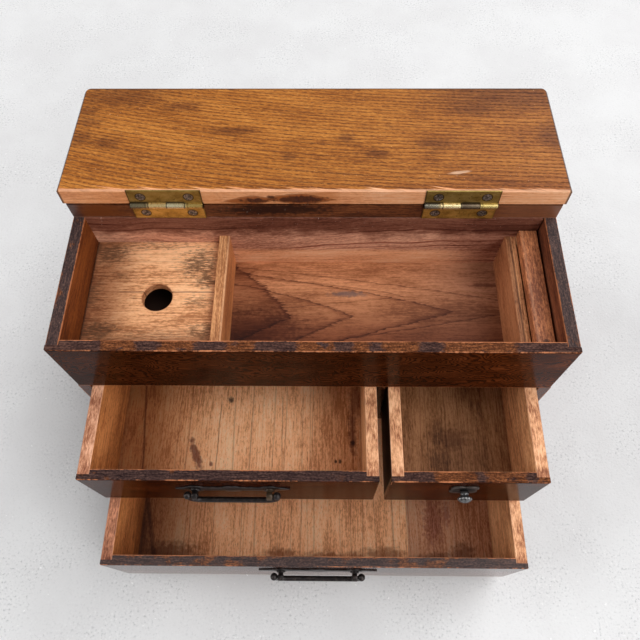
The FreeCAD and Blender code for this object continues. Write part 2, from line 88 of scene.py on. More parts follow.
camera = bpy.data.objects.new("camera", bpy.data.cameras.new("camera"))
bpy.context.scene.collection.objects.link(camera)
camera.matrix_world = Matrix((
    (right.x, up.x, -looking.x, camera_place.x),
    (right.y, up.y, -looking.y, camera_place.y),
    (right.z, up.z, -looking.z, camera_place.z),
    (0, 0, 0, 1),
))
camera.data.sensor_width = SENSOR
camera.data.lens = camera_lens
camera.data.clip_start = 0.01
bpy.context.scene.camera = camera
bpy.context.scene.view_settings.view_transform = "Standard"
print("lens", round(camera_lens, 2), "mm")

# %% [markdown]
# ## Tools for modelling
#
# The fittings are modelled with Blender's own edit-mode tools. A tool works on what is selected, so every
# step begins by opening one piece with nothing selected, and then picks faces by where they are. Each piece
# ends at the origin, unturned and unscaled: its place is in its mesh, as a board's is.

# %% Open, pick and close
def choose(*pieces):
    """Select these pieces alone, the first one as the active piece."""
    bpy.ops.object.select_all(action="DESELECT")
    for piece in pieces:
        piece.select_set(True)
    bpy.context.view_layer.objects.active = pieces[0]


def open_piece(piece):
    choose(piece)
    bpy.ops.object.mode_set(mode="EDIT")
    bpy.ops.mesh.select_mode(type="FACE")
    bpy.ops.mesh.select_all(action="DESELECT")


def pick_faces(piece, test):
    """Select the faces whose middle passes the test."""
    bpy.ops.mesh.select_all(action="DESELECT")
    for face in bmesh.from_edit_mesh(piece.data).faces:
        if test(face.calc_center_median() / MM):
            face.select_set(True)
    bmesh.update_edit_mesh(piece.data)


def pick_points(piece, test):
    """Select the points that pass the test."""
    bpy.ops.mesh.select_mode(type="VERT")
    bpy.ops.mesh.select_all(action="DESELECT")
    mesh = bmesh.from_edit_mesh(piece.data)
    for point in mesh.verts:
        if test(point.co / MM):
            point.select_set(True)
    mesh.select_flush_mode()
    bmesh.update_edit_mesh(piece.data)


def close_piece():
    bpy.ops.mesh.select_all(action="SELECT")
    bpy.ops.mesh.normals_make_consistent(inside=False)
    bpy.ops.object.mode_set(mode="OBJECT")


def settle(piece, name=None):
    """Put the object's place, turn and scale into its mesh."""
    choose(piece)
    bpy.ops.object.transform_apply(location=True, rotation=True, scale=True)
    if name:
        piece.name = name
        piece.data.name = name
    return piece


def rod(name, radius, start, length, axis, sides=24):
    """A round bar from a start point along X, Y or Z, in millimetres."""
    turn = {"X": (0, math.pi / 2, 0), "Y": (math.pi / 2, 0, 0), "Z": (0, 0, 0)}[axis]
    middle = Vector(start)
    middle["XYZ".index(axis)] += length / 2
    bpy.ops.mesh.primitive_cylinder_add(
        vertices=sides, radius=radius * MM, depth=abs(length) * MM, location=middle * MM, rotation=turn
    )
    return settle(bpy.context.active_object, name)


def join_pieces(name, pieces):
    choose(*pieces)
    bpy.ops.object.join()
    return settle(bpy.context.active_object, name)


def apply_modifier(piece, kind, **settings):
    choose(piece)
    modifier = piece.modifiers.new(kind, kind)
    for key, value in settings.items():
        setattr(modifier, key, value)
    bpy.ops.object.modifier_apply(modifier=modifier.name)


def bevel(piece, width, degrees=40):
    """Round every edge that is sharper than an angle, by a width in millimetres."""
    apply_modifier(
        piece, "BEVEL", width=width * MM, segments=2, limit_method="ANGLE", angle_limit=math.radians(degrees)
    )


def shade(piece, degrees=40):
    choose(piece)
    bpy.ops.object.shade_smooth_by_angle(angle=math.radians(degrees))


def pull_out(x, y, z):
    """Extrude the picked faces and move them by millimetres."""
    bpy.ops.mesh.extrude_region_move(TRANSFORM_OT_translate={"value": (x * MM, y * MM, z * MM)})


def copy_to(piece, name, shift):
    """A copy with its own mesh, moved by a shift in millimetres."""
    twin = piece.copy()
    twin.data = piece.data.copy()
    bpy.context.scene.collection.objects.link(twin)
    twin.location = Vector(shift) * MM
    return settle(twin, name)


print("tools ready")

# %% [markdown]
# ## Where the fittings sit
#
# Each pull is modelled about the middle of its plate, on the drawer front's face. The CAD plates and the
# joints of the frame say where that is, so no place is typed twice.

# %% Middles and joints
def pull_middle(plate):
    low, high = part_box(plate)
    middle = (low + high) / 2
    return Vector((middle.x, high.y, middle.z)) / MM


joints = {joint["name"]: joint for joint in frame["joints"]}
left_pull = pull_middle("left_pull_plate")
bottom_pull = pull_middle("bottom_pull_plate")
swing_line = Vector(joints["left_bail_swing"]["pos_m"]) / MM
standoff = left_pull.y - swing_line.y
hinge_line = Vector(joints["lid_hinge"]["pos_m"]) / MM
lid_tilt = math.radians(-joints["lid_hinge"]["range_deg"][0] - 180)
print("pulls at", tuple(left_pull), tuple(bottom_pull), "- bail stands off", round(standoff, 2), "mm")

# %% [markdown]
# ## Bail
#
# The bail is one iron rod with a quarter bend at each end. It is drawn the way it is bent: a straight bar,
# whose end faces are spun a quarter turn about the middle of the bend and then pulled up to the balls.

# %% Bend the bail
ROD = 1.8
BALL = 2.5
BEND = 8.0
DROP = 13.0
STUB = 6.6
BALL_REACH = 2.32
STUB_RADIUS = 1.1


def bail_half_span(node):
    """From the middle of the pull to the middle of a ball."""
    low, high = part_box(node)
    return (high.x - low.x) / 2 / MM - BALL_REACH


def bent_rod(half_span):
    half_bar = half_span - BEND
    piece = rod("bail_rod", ROD, (-half_bar, -standoff, -DROP), 2 * half_bar, "X")
    for side in (-1, 1):
        open_piece(piece)
        pick_faces(piece, lambda middle: abs(middle.x - side * half_bar) < 0.01)
        bpy.ops.mesh.spin(
            steps=8,
            angle=math.pi / 2 * side,
            center=Vector((side * half_bar, -standoff, BEND - DROP)) * MM,
            axis=(0, 1, 0),
        )
        pick_faces(
            piece,
            lambda middle: abs(middle.x - side * half_span) < 0.05 and abs(middle.z - BEND + DROP) < 0.05,
        )
        pull_out(0, 0, DROP - BEND)
        close_piece()
    return piece


print("half spans", round(bail_half_span("left_pull_bail"), 2), round(bail_half_span("bottom_pull_bail"), 2))

# %% [markdown]
# ## Balls and stubs
#
# A ball closes each end of the rod, and a thin stub goes from the ball through the eye of the post. The two
# pulls differ only in their span, so one function makes both.

# %% Make the two bails
def make_bail(name, node, middle):
    half_span = bail_half_span(node)
    parts = [bent_rod(half_span)]
    for side in (-1, 1):
        bpy.ops.mesh.primitive_uv_sphere_add(
            segments=24, ring_count=14, radius=BALL * MM,
            location=Vector((side * half_span, -standoff, 0)) * MM, rotation=(0, math.pi / 2, 0),
        )
        parts.append(settle(bpy.context.active_object, "ball"))
        parts.append(rod("stub", STUB_RADIUS, (side * half_span, -standoff, 0), -side * STUB, "X", 16))
    piece = join_pieces(name, parts)
    shade(piece, 35)
    piece.location = middle * MM
    return settle(piece)


left_bail = make_bail("left_bail_rod", "left_pull_bail", left_pull)
bottom_bail = make_bail("bottom_bail_rod", "bottom_pull_bail", bottom_pull)
print("bails:", len(left_bail.data.vertices), len(bottom_bail.data.vertices), "points")

# %% [markdown]
# ## Posts
#
# A post has a round collar on the plate, a flat tongue and an eye, which is a short drum with the bail's
# stub running through it. Behind the drawer front its square tail is clenched: bent over to hold the post.

# %% Model a post
EYE = 2.65
EYE_WIDTH = 3.4
BALL_TO_EYE = 2.6 + 0.3 + EYE_WIDTH / 2
COLLAR = 3.1
PLATE = 1.0
COLLAR_TOP = -2.35
FRONT_THICKNESS = 6.7
TAIL = 2.4
CLENCH = 4.0
CLENCH_THICKNESS = 0.9
TONGUE_HALF = (1.35, 1.5)
TONGUE_FOOT = -1.9

collar = rod("collar", COLLAR, (0, -PLATE, 0), -1.0, "Y", 32)
open_piece(collar)
pick_faces(collar, lambda middle: middle.y < -PLATE - 0.9)
bpy.ops.mesh.inset(thickness=0.5 * MM)
pull_out(0, -0.35, 0)
bpy.ops.transform.resize(value=(0.85, 1, 0.85), center_override=(0, COLLAR_TOP * MM, 0))
close_piece()

eye = rod("eye", EYE, (-EYE_WIDTH / 2, -standoff, 0), EYE_WIDTH, "X", 32)
open_piece(eye)
pick_faces(eye, lambda middle: abs(middle.x) > EYE_WIDTH / 2 - 0.05)
bpy.ops.mesh.inset(thickness=1.2 * MM, use_individual=True)
bpy.ops.transform.resize(value=(0.86, 1, 1), center_override=(0, -standoff * MM, 0))
close_piece()


def bar(name, low, high):
    """A square bar between two corners, in millimetres."""
    low, high = Vector(low), Vector(high)
    bpy.ops.mesh.primitive_cube_add(size=1, location=(low + high) / 2 * MM)
    piece = bpy.context.active_object
    piece.scale = (high - low) * MM
    return settle(piece, name)


def clenched_tail(start):
    """A square tail that goes through the front board, and its end bent over behind it."""
    half, back = TAIL / 2, FRONT_THICKNESS
    tail = bar("tail", (-half, start, -half), (half, back, half))
    clench = bar("clench", (-half, back, -CLENCH), (half, back + CLENCH_THICKNESS, CLENCH))
    return [tail, clench]


half_width, half_height = TONGUE_HALF
tongue = bar("tongue", (-half_width, -standoff, -half_height), (half_width, TONGUE_FOOT, half_height))
post = join_pieces("post", [collar, eye, tongue] + clenched_tail(-PLATE))
bevel(post, 0.25)
shade(post, 40)
print("post:", len(post.data.vertices), "points")

# %% Set the posts in place
def make_posts(name, bail_node, middle):
    reach = bail_half_span(bail_node) - BALL_TO_EYE
    pair = [copy_to(post, "post", middle + Vector((side * reach, 0, 0))) for side in (-1, 1)]
    return join_pieces(name, pair)


left_posts = make_posts("left_posts", "left_pull_bail", left_pull)
bottom_posts = make_posts("bottom_posts", "bottom_pull_bail", bottom_pull)
bpy.data.objects.remove(post)
print("two pairs of posts set")

# %% [markdown]
# ## Plates
#
# The pull's plate already has its outline in the CAD model. A copy of that mesh is merged, because a copy
# comes in loose triangles, and its sharp arris is bevelled, so that it catches the light.

# %% Soften a copy of a fitting
def softened(node, name, width, angle=40, smooth=40):
    piece = nodes[node].copy()
    piece.data = nodes[node].data.copy()
    piece.parent = None
    for key in list(piece.keys()):
        del piece[key]
    bpy.context.scene.collection.objects.link(piece)
    settle(piece, name)
    open_piece(piece)
    bpy.ops.mesh.select_all(action="SELECT")
    bpy.ops.mesh.remove_doubles(threshold=0.002 * MM)
    bpy.ops.mesh.tris_convert_to_quads()
    bpy.ops.mesh.dissolve_limited(angle_limit=math.radians(1))
    close_piece()
    bevel(piece, width, angle)
    shade(piece, smooth)
    return piece


left_plate = softened("left_pull_plate", "left_plate", 0.3)
bottom_plate = softened("bottom_pull_plate", "bottom_plate", 0.3)
rose = softened("knob_rose", "rose", 0.35)
print("points in plates and rose:", [len(piece.data.vertices) for piece in (left_plate, bottom_plate, rose)])

# %% [markdown]
# ## Knob
#
# The knob is a cast flower: twelve petals rise from a narrow neck, spread to a broad head and end in a
# rounded crown. A ring of twenty-four points is drawn out step by step along the axis and widened at
# each step. Every other line of points is then pressed in, and a subdivision rounds the whole.

# %% Model the knob
rose_low, rose_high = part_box("knob_rose")
knob_axis = Vector(((rose_low.x + rose_high.x) / 2, rose_high.y, (rose_low.z + rose_high.z) / 2)) / MM
PETALS = 12
PROFILE = (
    (2.5, -1.2), (3.1, -1.9), (3.2, -2.8), (2.5, -3.6), (2.2, -4.1), (2.9, -4.7),
    (4.1, -5.3), (4.95, -5.9), (4.95, -6.7), (4.0, -7.5), (2.7, -8.3), (1.2, -8.8),
)
PRESSED = {-1.9: 0.76, -2.8: 0.76, -4.7: 0.80, -5.3: 0.74, -5.9: 0.74, -6.7: 0.76, -7.5: 0.85}

first_radius, first_y = PROFILE[0]
bpy.ops.mesh.primitive_circle_add(
    vertices=2 * PETALS, radius=first_radius * MM, fill_type="NGON",
    location=(0, first_y * MM, 0), rotation=(math.pi / 2, 0, 0),
)
knob = settle(bpy.context.active_object, "knob_flower")
open_piece(knob)
bpy.ops.mesh.select_all(action="SELECT")
radius_now, y_now = first_radius, first_y
for next_radius, next_y in PROFILE[1:]:
    pull_out(0, next_y - y_now, 0)
    ratio = next_radius / radius_now
    bpy.ops.transform.resize(value=(ratio, 1, ratio), center_override=(0, next_y * MM, 0))
    radius_now, y_now = next_radius, next_y


def between_petals(point, level):
    angle = math.atan2(point.z, point.x) / math.pi * PETALS
    return abs(point.y - level) < 0.02 and round(angle) % 2 == 1


for level, share in PRESSED.items():
    pick_points(knob, lambda point: between_petals(point, level))
    bpy.ops.transform.resize(value=(share, 1, share), center_override=(0, level * MM, 0))
close_piece()
apply_modifier(knob, "SUBSURF", levels=2, render_levels=2)
shade(knob, 60)
KNOB_TAIL_START = -1.4
knob = join_pieces("knob_flower", [knob] + clenched_tail(KNOB_TAIL_START))
knob.location = knob_axis * MM
settle(knob)
print("knob:", len(knob.data.vertices), "points")

# %% [markdown]
# ## Slotted screws
#
# The hinges hang on countersunk screws with a sawn slot. One screw is modelled upright: a round head, whose
# top is cut in three strips by two planes, and the middle strip is pushed down. It is then copied to its
# eight holes, each with its slot at another angle, as hand-driven screws stand.

# %% Model a screw
HEAD = 2.65
HEAD_DEPTH = 0.9
SHANK = 1.5
SCREW_LENGTH = 9.5
SLOT_HALF = 0.36
SLOT_DEPTH = 0.55

screw = rod("screw", HEAD, (0, 0, -HEAD_DEPTH), HEAD_DEPTH, "Z", 32)
open_piece(screw)
pick_faces(screw, lambda middle: middle.z > -0.01)
bpy.ops.mesh.inset(thickness=0.22 * MM)
for side in (-1, 1):
    pick_faces(screw, lambda middle: middle.z > -0.01 and max(abs(middle.x), abs(middle.y)) < HEAD - 0.5)
    bpy.ops.mesh.bisect(plane_co=(0, side * SLOT_HALF * MM, 0), plane_no=(0, 1, 0))
pick_faces(screw, lambda middle: middle.z > -0.01 and abs(middle.y) < 0.1 and abs(middle.x) < 0.5)
pull_out(0, 0, -SLOT_DEPTH)
pick_faces(screw, lambda middle: middle.z < -HEAD_DEPTH + 0.01)
bpy.ops.transform.resize(value=(SHANK / HEAD, SHANK / HEAD, 1), center_override=(0, 0, -HEAD_DEPTH * MM))
pull_out(0, 0, HEAD_DEPTH - SCREW_LENGTH)
close_piece()
shade(screw, 35)
print("screw:", len(screw.data.vertices), "points")

# %% [markdown]
# ## Drive the screws
#
# A rail screw faces the front. A lid screw does the same and then follows the lid: the lid is open a little
# past flat, so its leaf leans back by that much.

# %% Copy the screws to their holes
HINGE_X = 88.4
HOLE_X = 14.3
HOLE_ROW = 7.4
LEAF_FACE = 0.15
SLOT_TURNS = {"rail": (20, -35, 64, -12), "lid": (-24, 48, -62, 12)}


def drive(leaf, index, x):
    one = copy_to(screw, leaf + "_screw_" + str(index), (0, 0, 0))
    slot_turn = math.radians(SLOT_TURNS[leaf][index])
    faced = Matrix.Rotation(math.pi / 2, 4, "X") @ Matrix.Rotation(slot_turn, 4, "Z")
    if leaf == "rail":
        place = Vector((x, hinge_line.y + LEAF_FACE, hinge_line.z - HOLE_ROW))
        one.matrix_world = Matrix.Translation(place * MM) @ faced
    else:
        lean = Matrix.Rotation(-lid_tilt, 4, "X")
        from_pin = lean @ Vector((0, LEAF_FACE, HOLE_ROW))
        place = Vector((x, hinge_line.y, hinge_line.z)) + from_pin
        one.matrix_world = Matrix.Translation(place * MM) @ lean @ faced
    return settle(one)


hole_places = [side * HINGE_X + end * HOLE_X for side in (-1, 1) for end in (-1, 1)]
screws = {}
for leaf in ("rail", "lid"):
    driven = [drive(leaf, index, x) for index, x in enumerate(hole_places)]
    screws[leaf] = join_pieces(leaf + "_screws", driven)
bpy.data.objects.remove(screw)
for leaf, group in screws.items():
    low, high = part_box("hinge_screws_" + leaf)
    corners = [point.co for point in group.data.vertices]
    print(leaf, "screws y", round(min(c.y for c in corners) / MM, 2), "CAD", round(low.y / MM, 2))

# %% [markdown]
# ## Lid board
#
# The lid's arrises were eased with a plane and then rounded by hands. A copy of the board gets smooth shading
# over its narrow slopes, and the weighted normals keep its large faces flat.

# %% Ease the lid's arrises
lid = softened("lid", "lid_board", 0.45, 30, 60)
apply_modifier(lid, "WEIGHTED_NORMAL", keep_sharp=True)
print("lid:", len(lid.data.vertices), "points")

# %% [markdown]
# ## Who carries what
#
# Every new piece hides the CAD node it stands for and is attached to the body it moves with.

# %% Hand the pieces over
def hand_over(piece, node, body):
    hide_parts(node)
    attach(piece, body)


for side, bail, posts, plate in (
    ("left", left_bail, left_posts, left_plate), ("bottom", bottom_bail, bottom_posts, bottom_plate),
):
    hand_over(bail, side + "_pull_bail", side + "_bail")
    hand_over(posts, side + "_pull_posts", side + "_drawer")
    hand_over(plate, side + "_pull_plate", side + "_drawer")
hand_over(rose, "knob_rose", "right_drawer")
hand_over(knob, "knob", "right_drawer")
hand_over(screws["rail"], "hinge_screws_rail", "carcass")
hand_over(screws["lid"], "hinge_screws_lid", "lid")
hand_over(lid, "lid", "lid")
print("pieces handed over")

# %% [markdown]
# ## Light
#
# The box stood in a bright room that gave light from all sides: no shadow has a sharp edge, and the insides
# of the drawers are well lit. Four wide sun lamps stand for a window on the right and behind, the room in
# front, the wall on the left and the ceiling. A sun lamp spreads its light evenly over the whole floor,
# which a lamp at a near place doesn't. The world adds a weak even light.

# %% Light the room
def wide_light(name, bearing, height, spread, strength):
    """Even light from a bearing (0 from the right, 90 from behind), with its spread in degrees."""
    lamp = bpy.data.lights.new(name, "SUN")
    lamp.angle = math.radians(spread)
    lamp.energy = strength
    holder = bpy.data.objects.new(name, lamp)
    bpy.context.scene.collection.objects.link(holder)
    turn, rise = math.radians(bearing), math.radians(height)
    source = Vector((math.cos(turn) * math.cos(rise), math.sin(turn) * math.cos(rise), math.sin(rise)))
    holder.rotation_euler = source.to_track_quat("Z", "Y").to_euler()
    holder.location = source


wide_light("window", 45, 30, 45, 1.57)
wide_light("front_of_room", -45, 30, 45, 1.35)
wide_light("left_wall", 180, 30, 45, 1.28)
wide_light("ceiling_right", 0, 62, 45, 1.28)

world = bpy.data.worlds.new("room")
bpy.context.scene.world = world
world.use_nodes = True
sky = world.node_tree.nodes["Background"]
sky.inputs["Color"].default_value = (1.0, 1.0, 1.0, 1)
sky.inputs["Strength"].default_value = 0.285

# %% [markdown]
# ## Arithmetic for finishes
#
# A finish is worked out by a net of small nodes. Written one by one they would fill pages, so a wrapped
# socket takes part in ordinary sums: adding two of them adds a Math node. Colours are never summed this
# way, because a Math node turns them grey. They are blended with a mask instead.

# %% Sockets that can be added and multiplied
def math_method(operation, swapped=False):
    """A method that adds one Math node. A swapped one takes its values in the other order."""
    def method(self, *others):
        values = (self, *others)
        return self.finish.sum_of(operation, *(reversed(values) if swapped else values))
    return method


class Wire:
    def __init__(self, finish, socket):
        self.finish = finish
        self.socket = socket

    __add__ = __radd__ = math_method("ADD")
    __sub__ = math_method("SUBTRACT")
    __rsub__ = math_method("SUBTRACT", swapped=True)
    __mul__ = __rmul__ = math_method("MULTIPLY")
    __truediv__ = math_method("DIVIDE")
    __rtruediv__ = math_method("DIVIDE", swapped=True)
    __pow__ = math_method("POWER")
    lesser = math_method("MINIMUM")
    greater = math_method("MAXIMUM")
    size = math_method("ABSOLUTE")
    fraction = math_method("FRACT")
    root = math_method("SQRT")

    def rising(self, low, high):
        """0 below low, 1 above high and a soft step between them."""
        made = self.finish.node(
            "ShaderNodeMapRange",
            {"interpolation_type": "SMOOTHSTEP"},
            {"Value": self, "From Min": low, "From Max": high},
        )
        return Wire(self.finish, made.outputs["Result"])

    def falling(self, low, high):
        return 1 - self.rising(low, high)

    def band(self, low, high, soft):
        """1 between low and high, with soft ends."""
        return self.rising(low - soft, low + soft) * self.falling(high - soft, high + soft)


# %% [markdown]
# ## A finish
#
# Each finish owns one material with one Principled shader, and a colour that grows layer by layer, as paint
# does: lay puts a tone on it and stain darkens it, each where a mask is 1. The finish offers the piece's
# coordinates in millimetres, and a noise that can be stretched. Stretching is what turns plain noise into
# wood: long along the grain, short across it.

# %% The finish
class Finish:
    def __init__(self, name, gloss=0.5, metallic=0.0):
        self.material = bpy.data.materials.new(name)
        self.material.use_nodes = True
        self.tree = self.material.node_tree
        self.tree.nodes.clear()
        constants = {"Specular IOR Level": gloss, "Metallic": metallic}
        self.shader = self.node("ShaderNodeBsdfPrincipled", {}, constants)
        output = self.node("ShaderNodeOutputMaterial")
        self.tree.links.new(self.shader.outputs["BSDF"], output.inputs["Surface"])
        coordinates = self.node("ShaderNodeTexCoord")
        in_mm = self.node(
            "ShaderNodeVectorMath", {"operation": "SCALE"},
            {"Vector": coordinates.outputs["Object"], "Scale": 1 / MM},
        )
        self.xyz = self.x, self.y, self.z = self.parts_of(in_mm.outputs["Vector"])
        self.facing_x, self.facing_y, self.facing_z = self.parts_of(coordinates.outputs["Normal"])
        self.colour = None

    def node(self, kind, settings=None, sockets=None):
        """Any node: its settings first, then the value or link of each socket."""
        made = self.tree.nodes.new(kind)
        for key, value in (settings or {}).items():
            if key == "stops":
                self.set_stops(made.color_ramp, value)
            else:
                setattr(made, key, value)
        for key, value in (sockets or {}).items():
            self.join(made.inputs[key], value)
        return made

    def join(self, socket, value):
        if isinstance(value, Wire):
            value = value.socket
        if isinstance(value, bpy.types.NodeSocket):
            self.tree.links.new(value, socket)
        else:
            socket.default_value = value

    def set_stops(self, ramp, stops):
        while len(ramp.elements) < len(stops):
            ramp.elements.new(0.5)
        for element, (place, colour) in zip(ramp.elements, stops):
            element.position = place
            element.color = (*colour, 1)

    def parts_of(self, vector):
        parts = self.node("ShaderNodeSeparateXYZ", {}, {"Vector": vector})
        return [Wire(self, parts.outputs[axis]) for axis in "XYZ"]

    def sum_of(self, operation, *values):
        made = self.node("ShaderNodeMath", {"operation": operation}, dict(enumerate(values)))
        return Wire(self, made.outputs["Value"])

    def vector(self, x, y, z):
        made = self.node("ShaderNodeCombineXYZ", {}, {"X": x, "Y": y, "Z": z})
        return made.outputs["Vector"]

    def noise(self, x, y, z, detail=2.0, roughness=0.5):
        """A cloudy value about one half, between roughly 0.2 and 0.8."""
        made = self.node(
            "ShaderNodeTexNoise", {},
            {"Vector": self.vector(x, y, z), "Scale": 1.0, "Detail": detail, "Roughness": roughness},
        )
        return Wire(self, made.outputs[0])

    def shake(self, reach, x, y, z, detail=2.0, roughness=0.5):
        """The same noise about zero, to shake a place or a border by a reach."""
        return (self.noise(x, y, z, detail, roughness) - 0.5) * reach

    def spot(self, u, v, centre, reach, ragged=0.5, soft=0.35):
        """1 inside an uneven oval about a centre, in two of the piece's coordinates."""
        across = (u - centre[0]) / reach[0]
        down = (v - centre[1]) / reach[1]
        edge = self.shake(2 * ragged, u / 3.1, v / 3.1, centre[0], 3)
        distance = (across * across + down * down).root() + edge
        return distance.falling(1 - soft, 1 + soft)

    def ramp(self, value, stops):
        made = self.node("ShaderNodeValToRGB", {"stops": stops}, {"Fac": value})
        return made.outputs["Color"]

    def tones(self, level, light, middle, dark, low=0.28, high=0.72):
        """A ramp of three tones, by a level about one half."""
        return self.ramp(level, [(low, dark), (0.5, middle), (high, light)])

    def mix(self, kind, mask, under, over):
        mix = self.node("ShaderNodeMix", {"data_type": "RGBA", "blend_type": kind}, {0: mask})
        for slot, colour in ((6, under), (7, over)):
            self.join(mix.inputs[slot], (*colour, 1) if isinstance(colour, tuple) else colour)
        return mix.outputs[2]

    def blend(self, mask, under, over):
        """The colour over laid on the colour under where the mask is 1."""
        return self.mix("MIX", mask, under, over)

    def multiply(self, mask, under, over):
        """Darken a colour by another one, as a stain does."""
        return self.mix("MULTIPLY", mask, under, over)

    def lay(self, mask, tone):
        self.colour = self.blend(mask, self.colour, tone)

    def stain(self, mask, tone):
        self.colour = self.multiply(mask, self.colour, tone)

    def show(self, roughness, height, relief):
        """Wire the results to the shader. The relief is in millimetres."""
        bump = self.node("ShaderNodeBump", {}, {"Height": height, "Distance": relief * MM, "Strength": 1.0})
        self.join(self.shader.inputs["Base Color"], self.colour)
        self.join(self.shader.inputs["Roughness"], roughness)
        self.join(self.shader.inputs["Normal"], bump.outputs["Normal"])
        return self.material


def give(material, *names):
    """Put a material on CAD nodes by name, or on new pieces."""
    for name in names:
        piece = nodes[name] if isinstance(name, str) else name
        piece.data.materials.clear()
        piece.data.materials.append(material)


# %% [markdown]
# ## Floor
#
# The box stands on a pale painted floor with faint clouds, small grey pits and a few white flecks. It
# isn't part of the box, so it is only marked as the stage.

# %% Lay the floor
bpy.ops.object.select_all(action="DESELECT")
bpy.ops.mesh.primitive_plane_add(size=8, location=(0, 0, -0.0003))
floor = bpy.context.active_object
floor.name = "floor"

paint = Finish("floor_paint", gloss=0.25)
x, y = paint.x, paint.y
clouds = paint.noise(x / 90, y / 90, 0.0, 5, 0.6).rising(0.3, 0.7)
grit = paint.noise(x / 1.9, y / 1.9, 3.0, 3, 0.65)
gritty_area = paint.noise(x / 55, y / 55, 9.0, 3).rising(0.40, 0.62)
flecks = paint.noise(x / 3.0, y / 3.0, 21.0, 2).rising(0.71, 0.77)
paint.colour = paint.ramp(clouds, [(0.0, (0.650, 0.645, 0.650)), (1.0, (0.705, 0.705, 0.709))])
paint.lay(grit.falling(0.30, 0.46) * (gritty_area * 0.55 + 0.15), (0.34, 0.35, 0.36))
paint.lay(grit.rising(0.56, 0.70) * (gritty_area * 0.6 + 0.15), (0.80, 0.80, 0.80))
paint.lay(flecks * 0.85, (0.93, 0.93, 0.93))
give(paint.show(0.55, clouds + grit * 0.8, 0.35), floor)
print("floor laid")

# %% [markdown]
# ## Grain
#
# Wood grows a light layer in spring and a thin dark one in late summer, so a sawn board shows thin dark
# lines. They stand at uneven distances, and some are strong while others hardly show. Evenly spaced lines
# of one strength would look like corduroy. Between them lie fibres, which are a noise stretched far along
# the grain, and flecks, which are shorter.

# %% Growth lines, fibres and flecks
def years_across(finish, along, across, depth, spacing, wander, unevenness=1.2, seed=0.0):
    """Counts the years across a board. The whole part is the year, the fraction its season."""
    drift = finish.shake(wander, along / 150 + seed, across / 34, depth / 34, 1)
    years = (across + drift) / spacing
    return years + finish.shake(unevenness * 2, years * 0.37, along / 700, 7.3 + seed, 1)


def growth_lines(finish, years, along, thin=0.75, weakest=0.36):
    """1 on the dark line that ends a year, less on the weaker ones."""
    season = years.fraction()
    number = years - season
    strength = finish.noise(number * 1.73 + 0.37, along / 220, 2.9, 0).rising(weakest, weakest + 0.26)
    return season.rising(thin, 0.95) * season.falling(0.96, 1.0) * strength


def grain_level(finish, along, across, depth, seed=0.0, streaky=0.9, flecky=0.7, cloudy=0.8):
    """How light the wood is between its lines, about one half."""
    streak = finish.noise(along / 16 + seed, across / 1.0, depth / 1.0, 3, 0.6)
    fleck = finish.noise(along / 2.6, across / 0.95, depth / 0.95 + seed, 2, 0.6)
    cloud = finish.noise(along / 60, across / 16, depth / 16 + seed, 3)
    return 0.5 + (streak - 0.5) * streaky + (fleck - 0.5) * flecky + (cloud - 0.5) * cloudy


LINE_TONE = (0.34, 0.19, 0.14)


def soft_wood(finish, along, across, depth, spacing, tones, seed=0.0, wander=6.0, line=0.6, thin=0.75):
    """The colour of a bare board, and its grain level."""
    years = years_across(finish, along, across, depth, spacing, wander, 1.2, seed)
    lines = growth_lines(finish, years, along, thin)
    level = grain_level(finish, along, across, depth, seed)
    return finish.multiply(lines * line, finish.tones(level, *tones), LINE_TONE), level


print("grain ready")

# %% [markdown]
# ## The lid's wood
#
# The lid lies on its back, so the picture shows its inner face: an amber hardwood whose years begin with a
# row of open pores. The pores are short dark dashes along the grain, and the grain slopes down to the
# right, most at the left end. The dashes stand in rows, so they are a noise that is let through only
# where a year begins.

# %% The lid's inner face
amber = Finish("lid_wood", gloss=0.22)
x, y, z = amber.xyz
LID_RIGHT, LID_LENGTH = 152.0, 302.0
slope = x * 0.03 - ((LID_RIGHT - x) / LID_LENGTH) ** 2.8 * 25.7
across = y + slope
years = years_across(amber, x, across, z, 3.0, 5.0, 0.7)
season = years.fraction()
dashes = amber.noise(x / 2.7, across / 0.52, 2.0, 3, 0.6)
pores = dashes.rising(0.42, 0.56) * season.falling(0.22, 0.44)
stray = amber.noise(x / 4.2, across / 0.6, 12.0, 3, 0.6).rising(0.56, 0.68) * 0.55
level = grain_level(amber, x, across, z, 3.0, 1.0, 0.9, 0.6)
AMBER_TONES = ((0.530, 0.208, 0.038), (0.385, 0.130, 0.019), (0.215, 0.062, 0.008))
amber.colour = amber.tones(level, *AMBER_TONES, 0.25, 0.75)
amber.lay(pores.greater(stray) * 0.82, (0.100, 0.030, 0.007))
print("amber face made")

# %% [markdown]
# ## Smoke, scratches and the lid's dark rim
#
# Years of lamp soot and handling left smoky clouds near the ends of the lid. The dark lacquer of the outside
# comes a little over each arris, and it draws a thin dark line round the amber face.

# %% Smoke on the lid
SMOKE_SPOTS = (
    ((-147, 42), (9, 6)), ((-129, 38), (8, 5)), ((-144, 56), (8, 4)), ((-146, 66), (7, 5)),
    ((-86, 70), (12, 4)), ((-50, 48), (14, 3)), ((-15, 26), (4, 3)), ((-126, 80), (30, 9)),
    ((120, 80), (42, 13)), ((148, 44), (9, 10)), ((102, 68), (16, 5)), ((38, 29), (7, 3)),
    ((20, 42), (5, 4)), ((75, 37), (12, 4)),
)
smoke = amber.noise(x / 20, y / 7, 31.0, 4, 0.6).rising(0.54, 0.70) * 0.30
for centre, reach in SMOKE_SPOTS:
    smoke = smoke.greater(amber.spot(x, y, centre, reach, 0.8, 0.7) * 0.62)
amber.stain(smoke, (0.30, 0.22, 0.34))
browner = x.rising(20, 170) * 0.5 + y.falling(-4, 26) * x.rising(-110, 0) * 0.6
amber.stain(browner, (0.72, 0.62, 0.62))
scratch = amber.spot(x, y + x * -0.16, (87, -0.4), (6, 1.1), 0.4, 0.4)
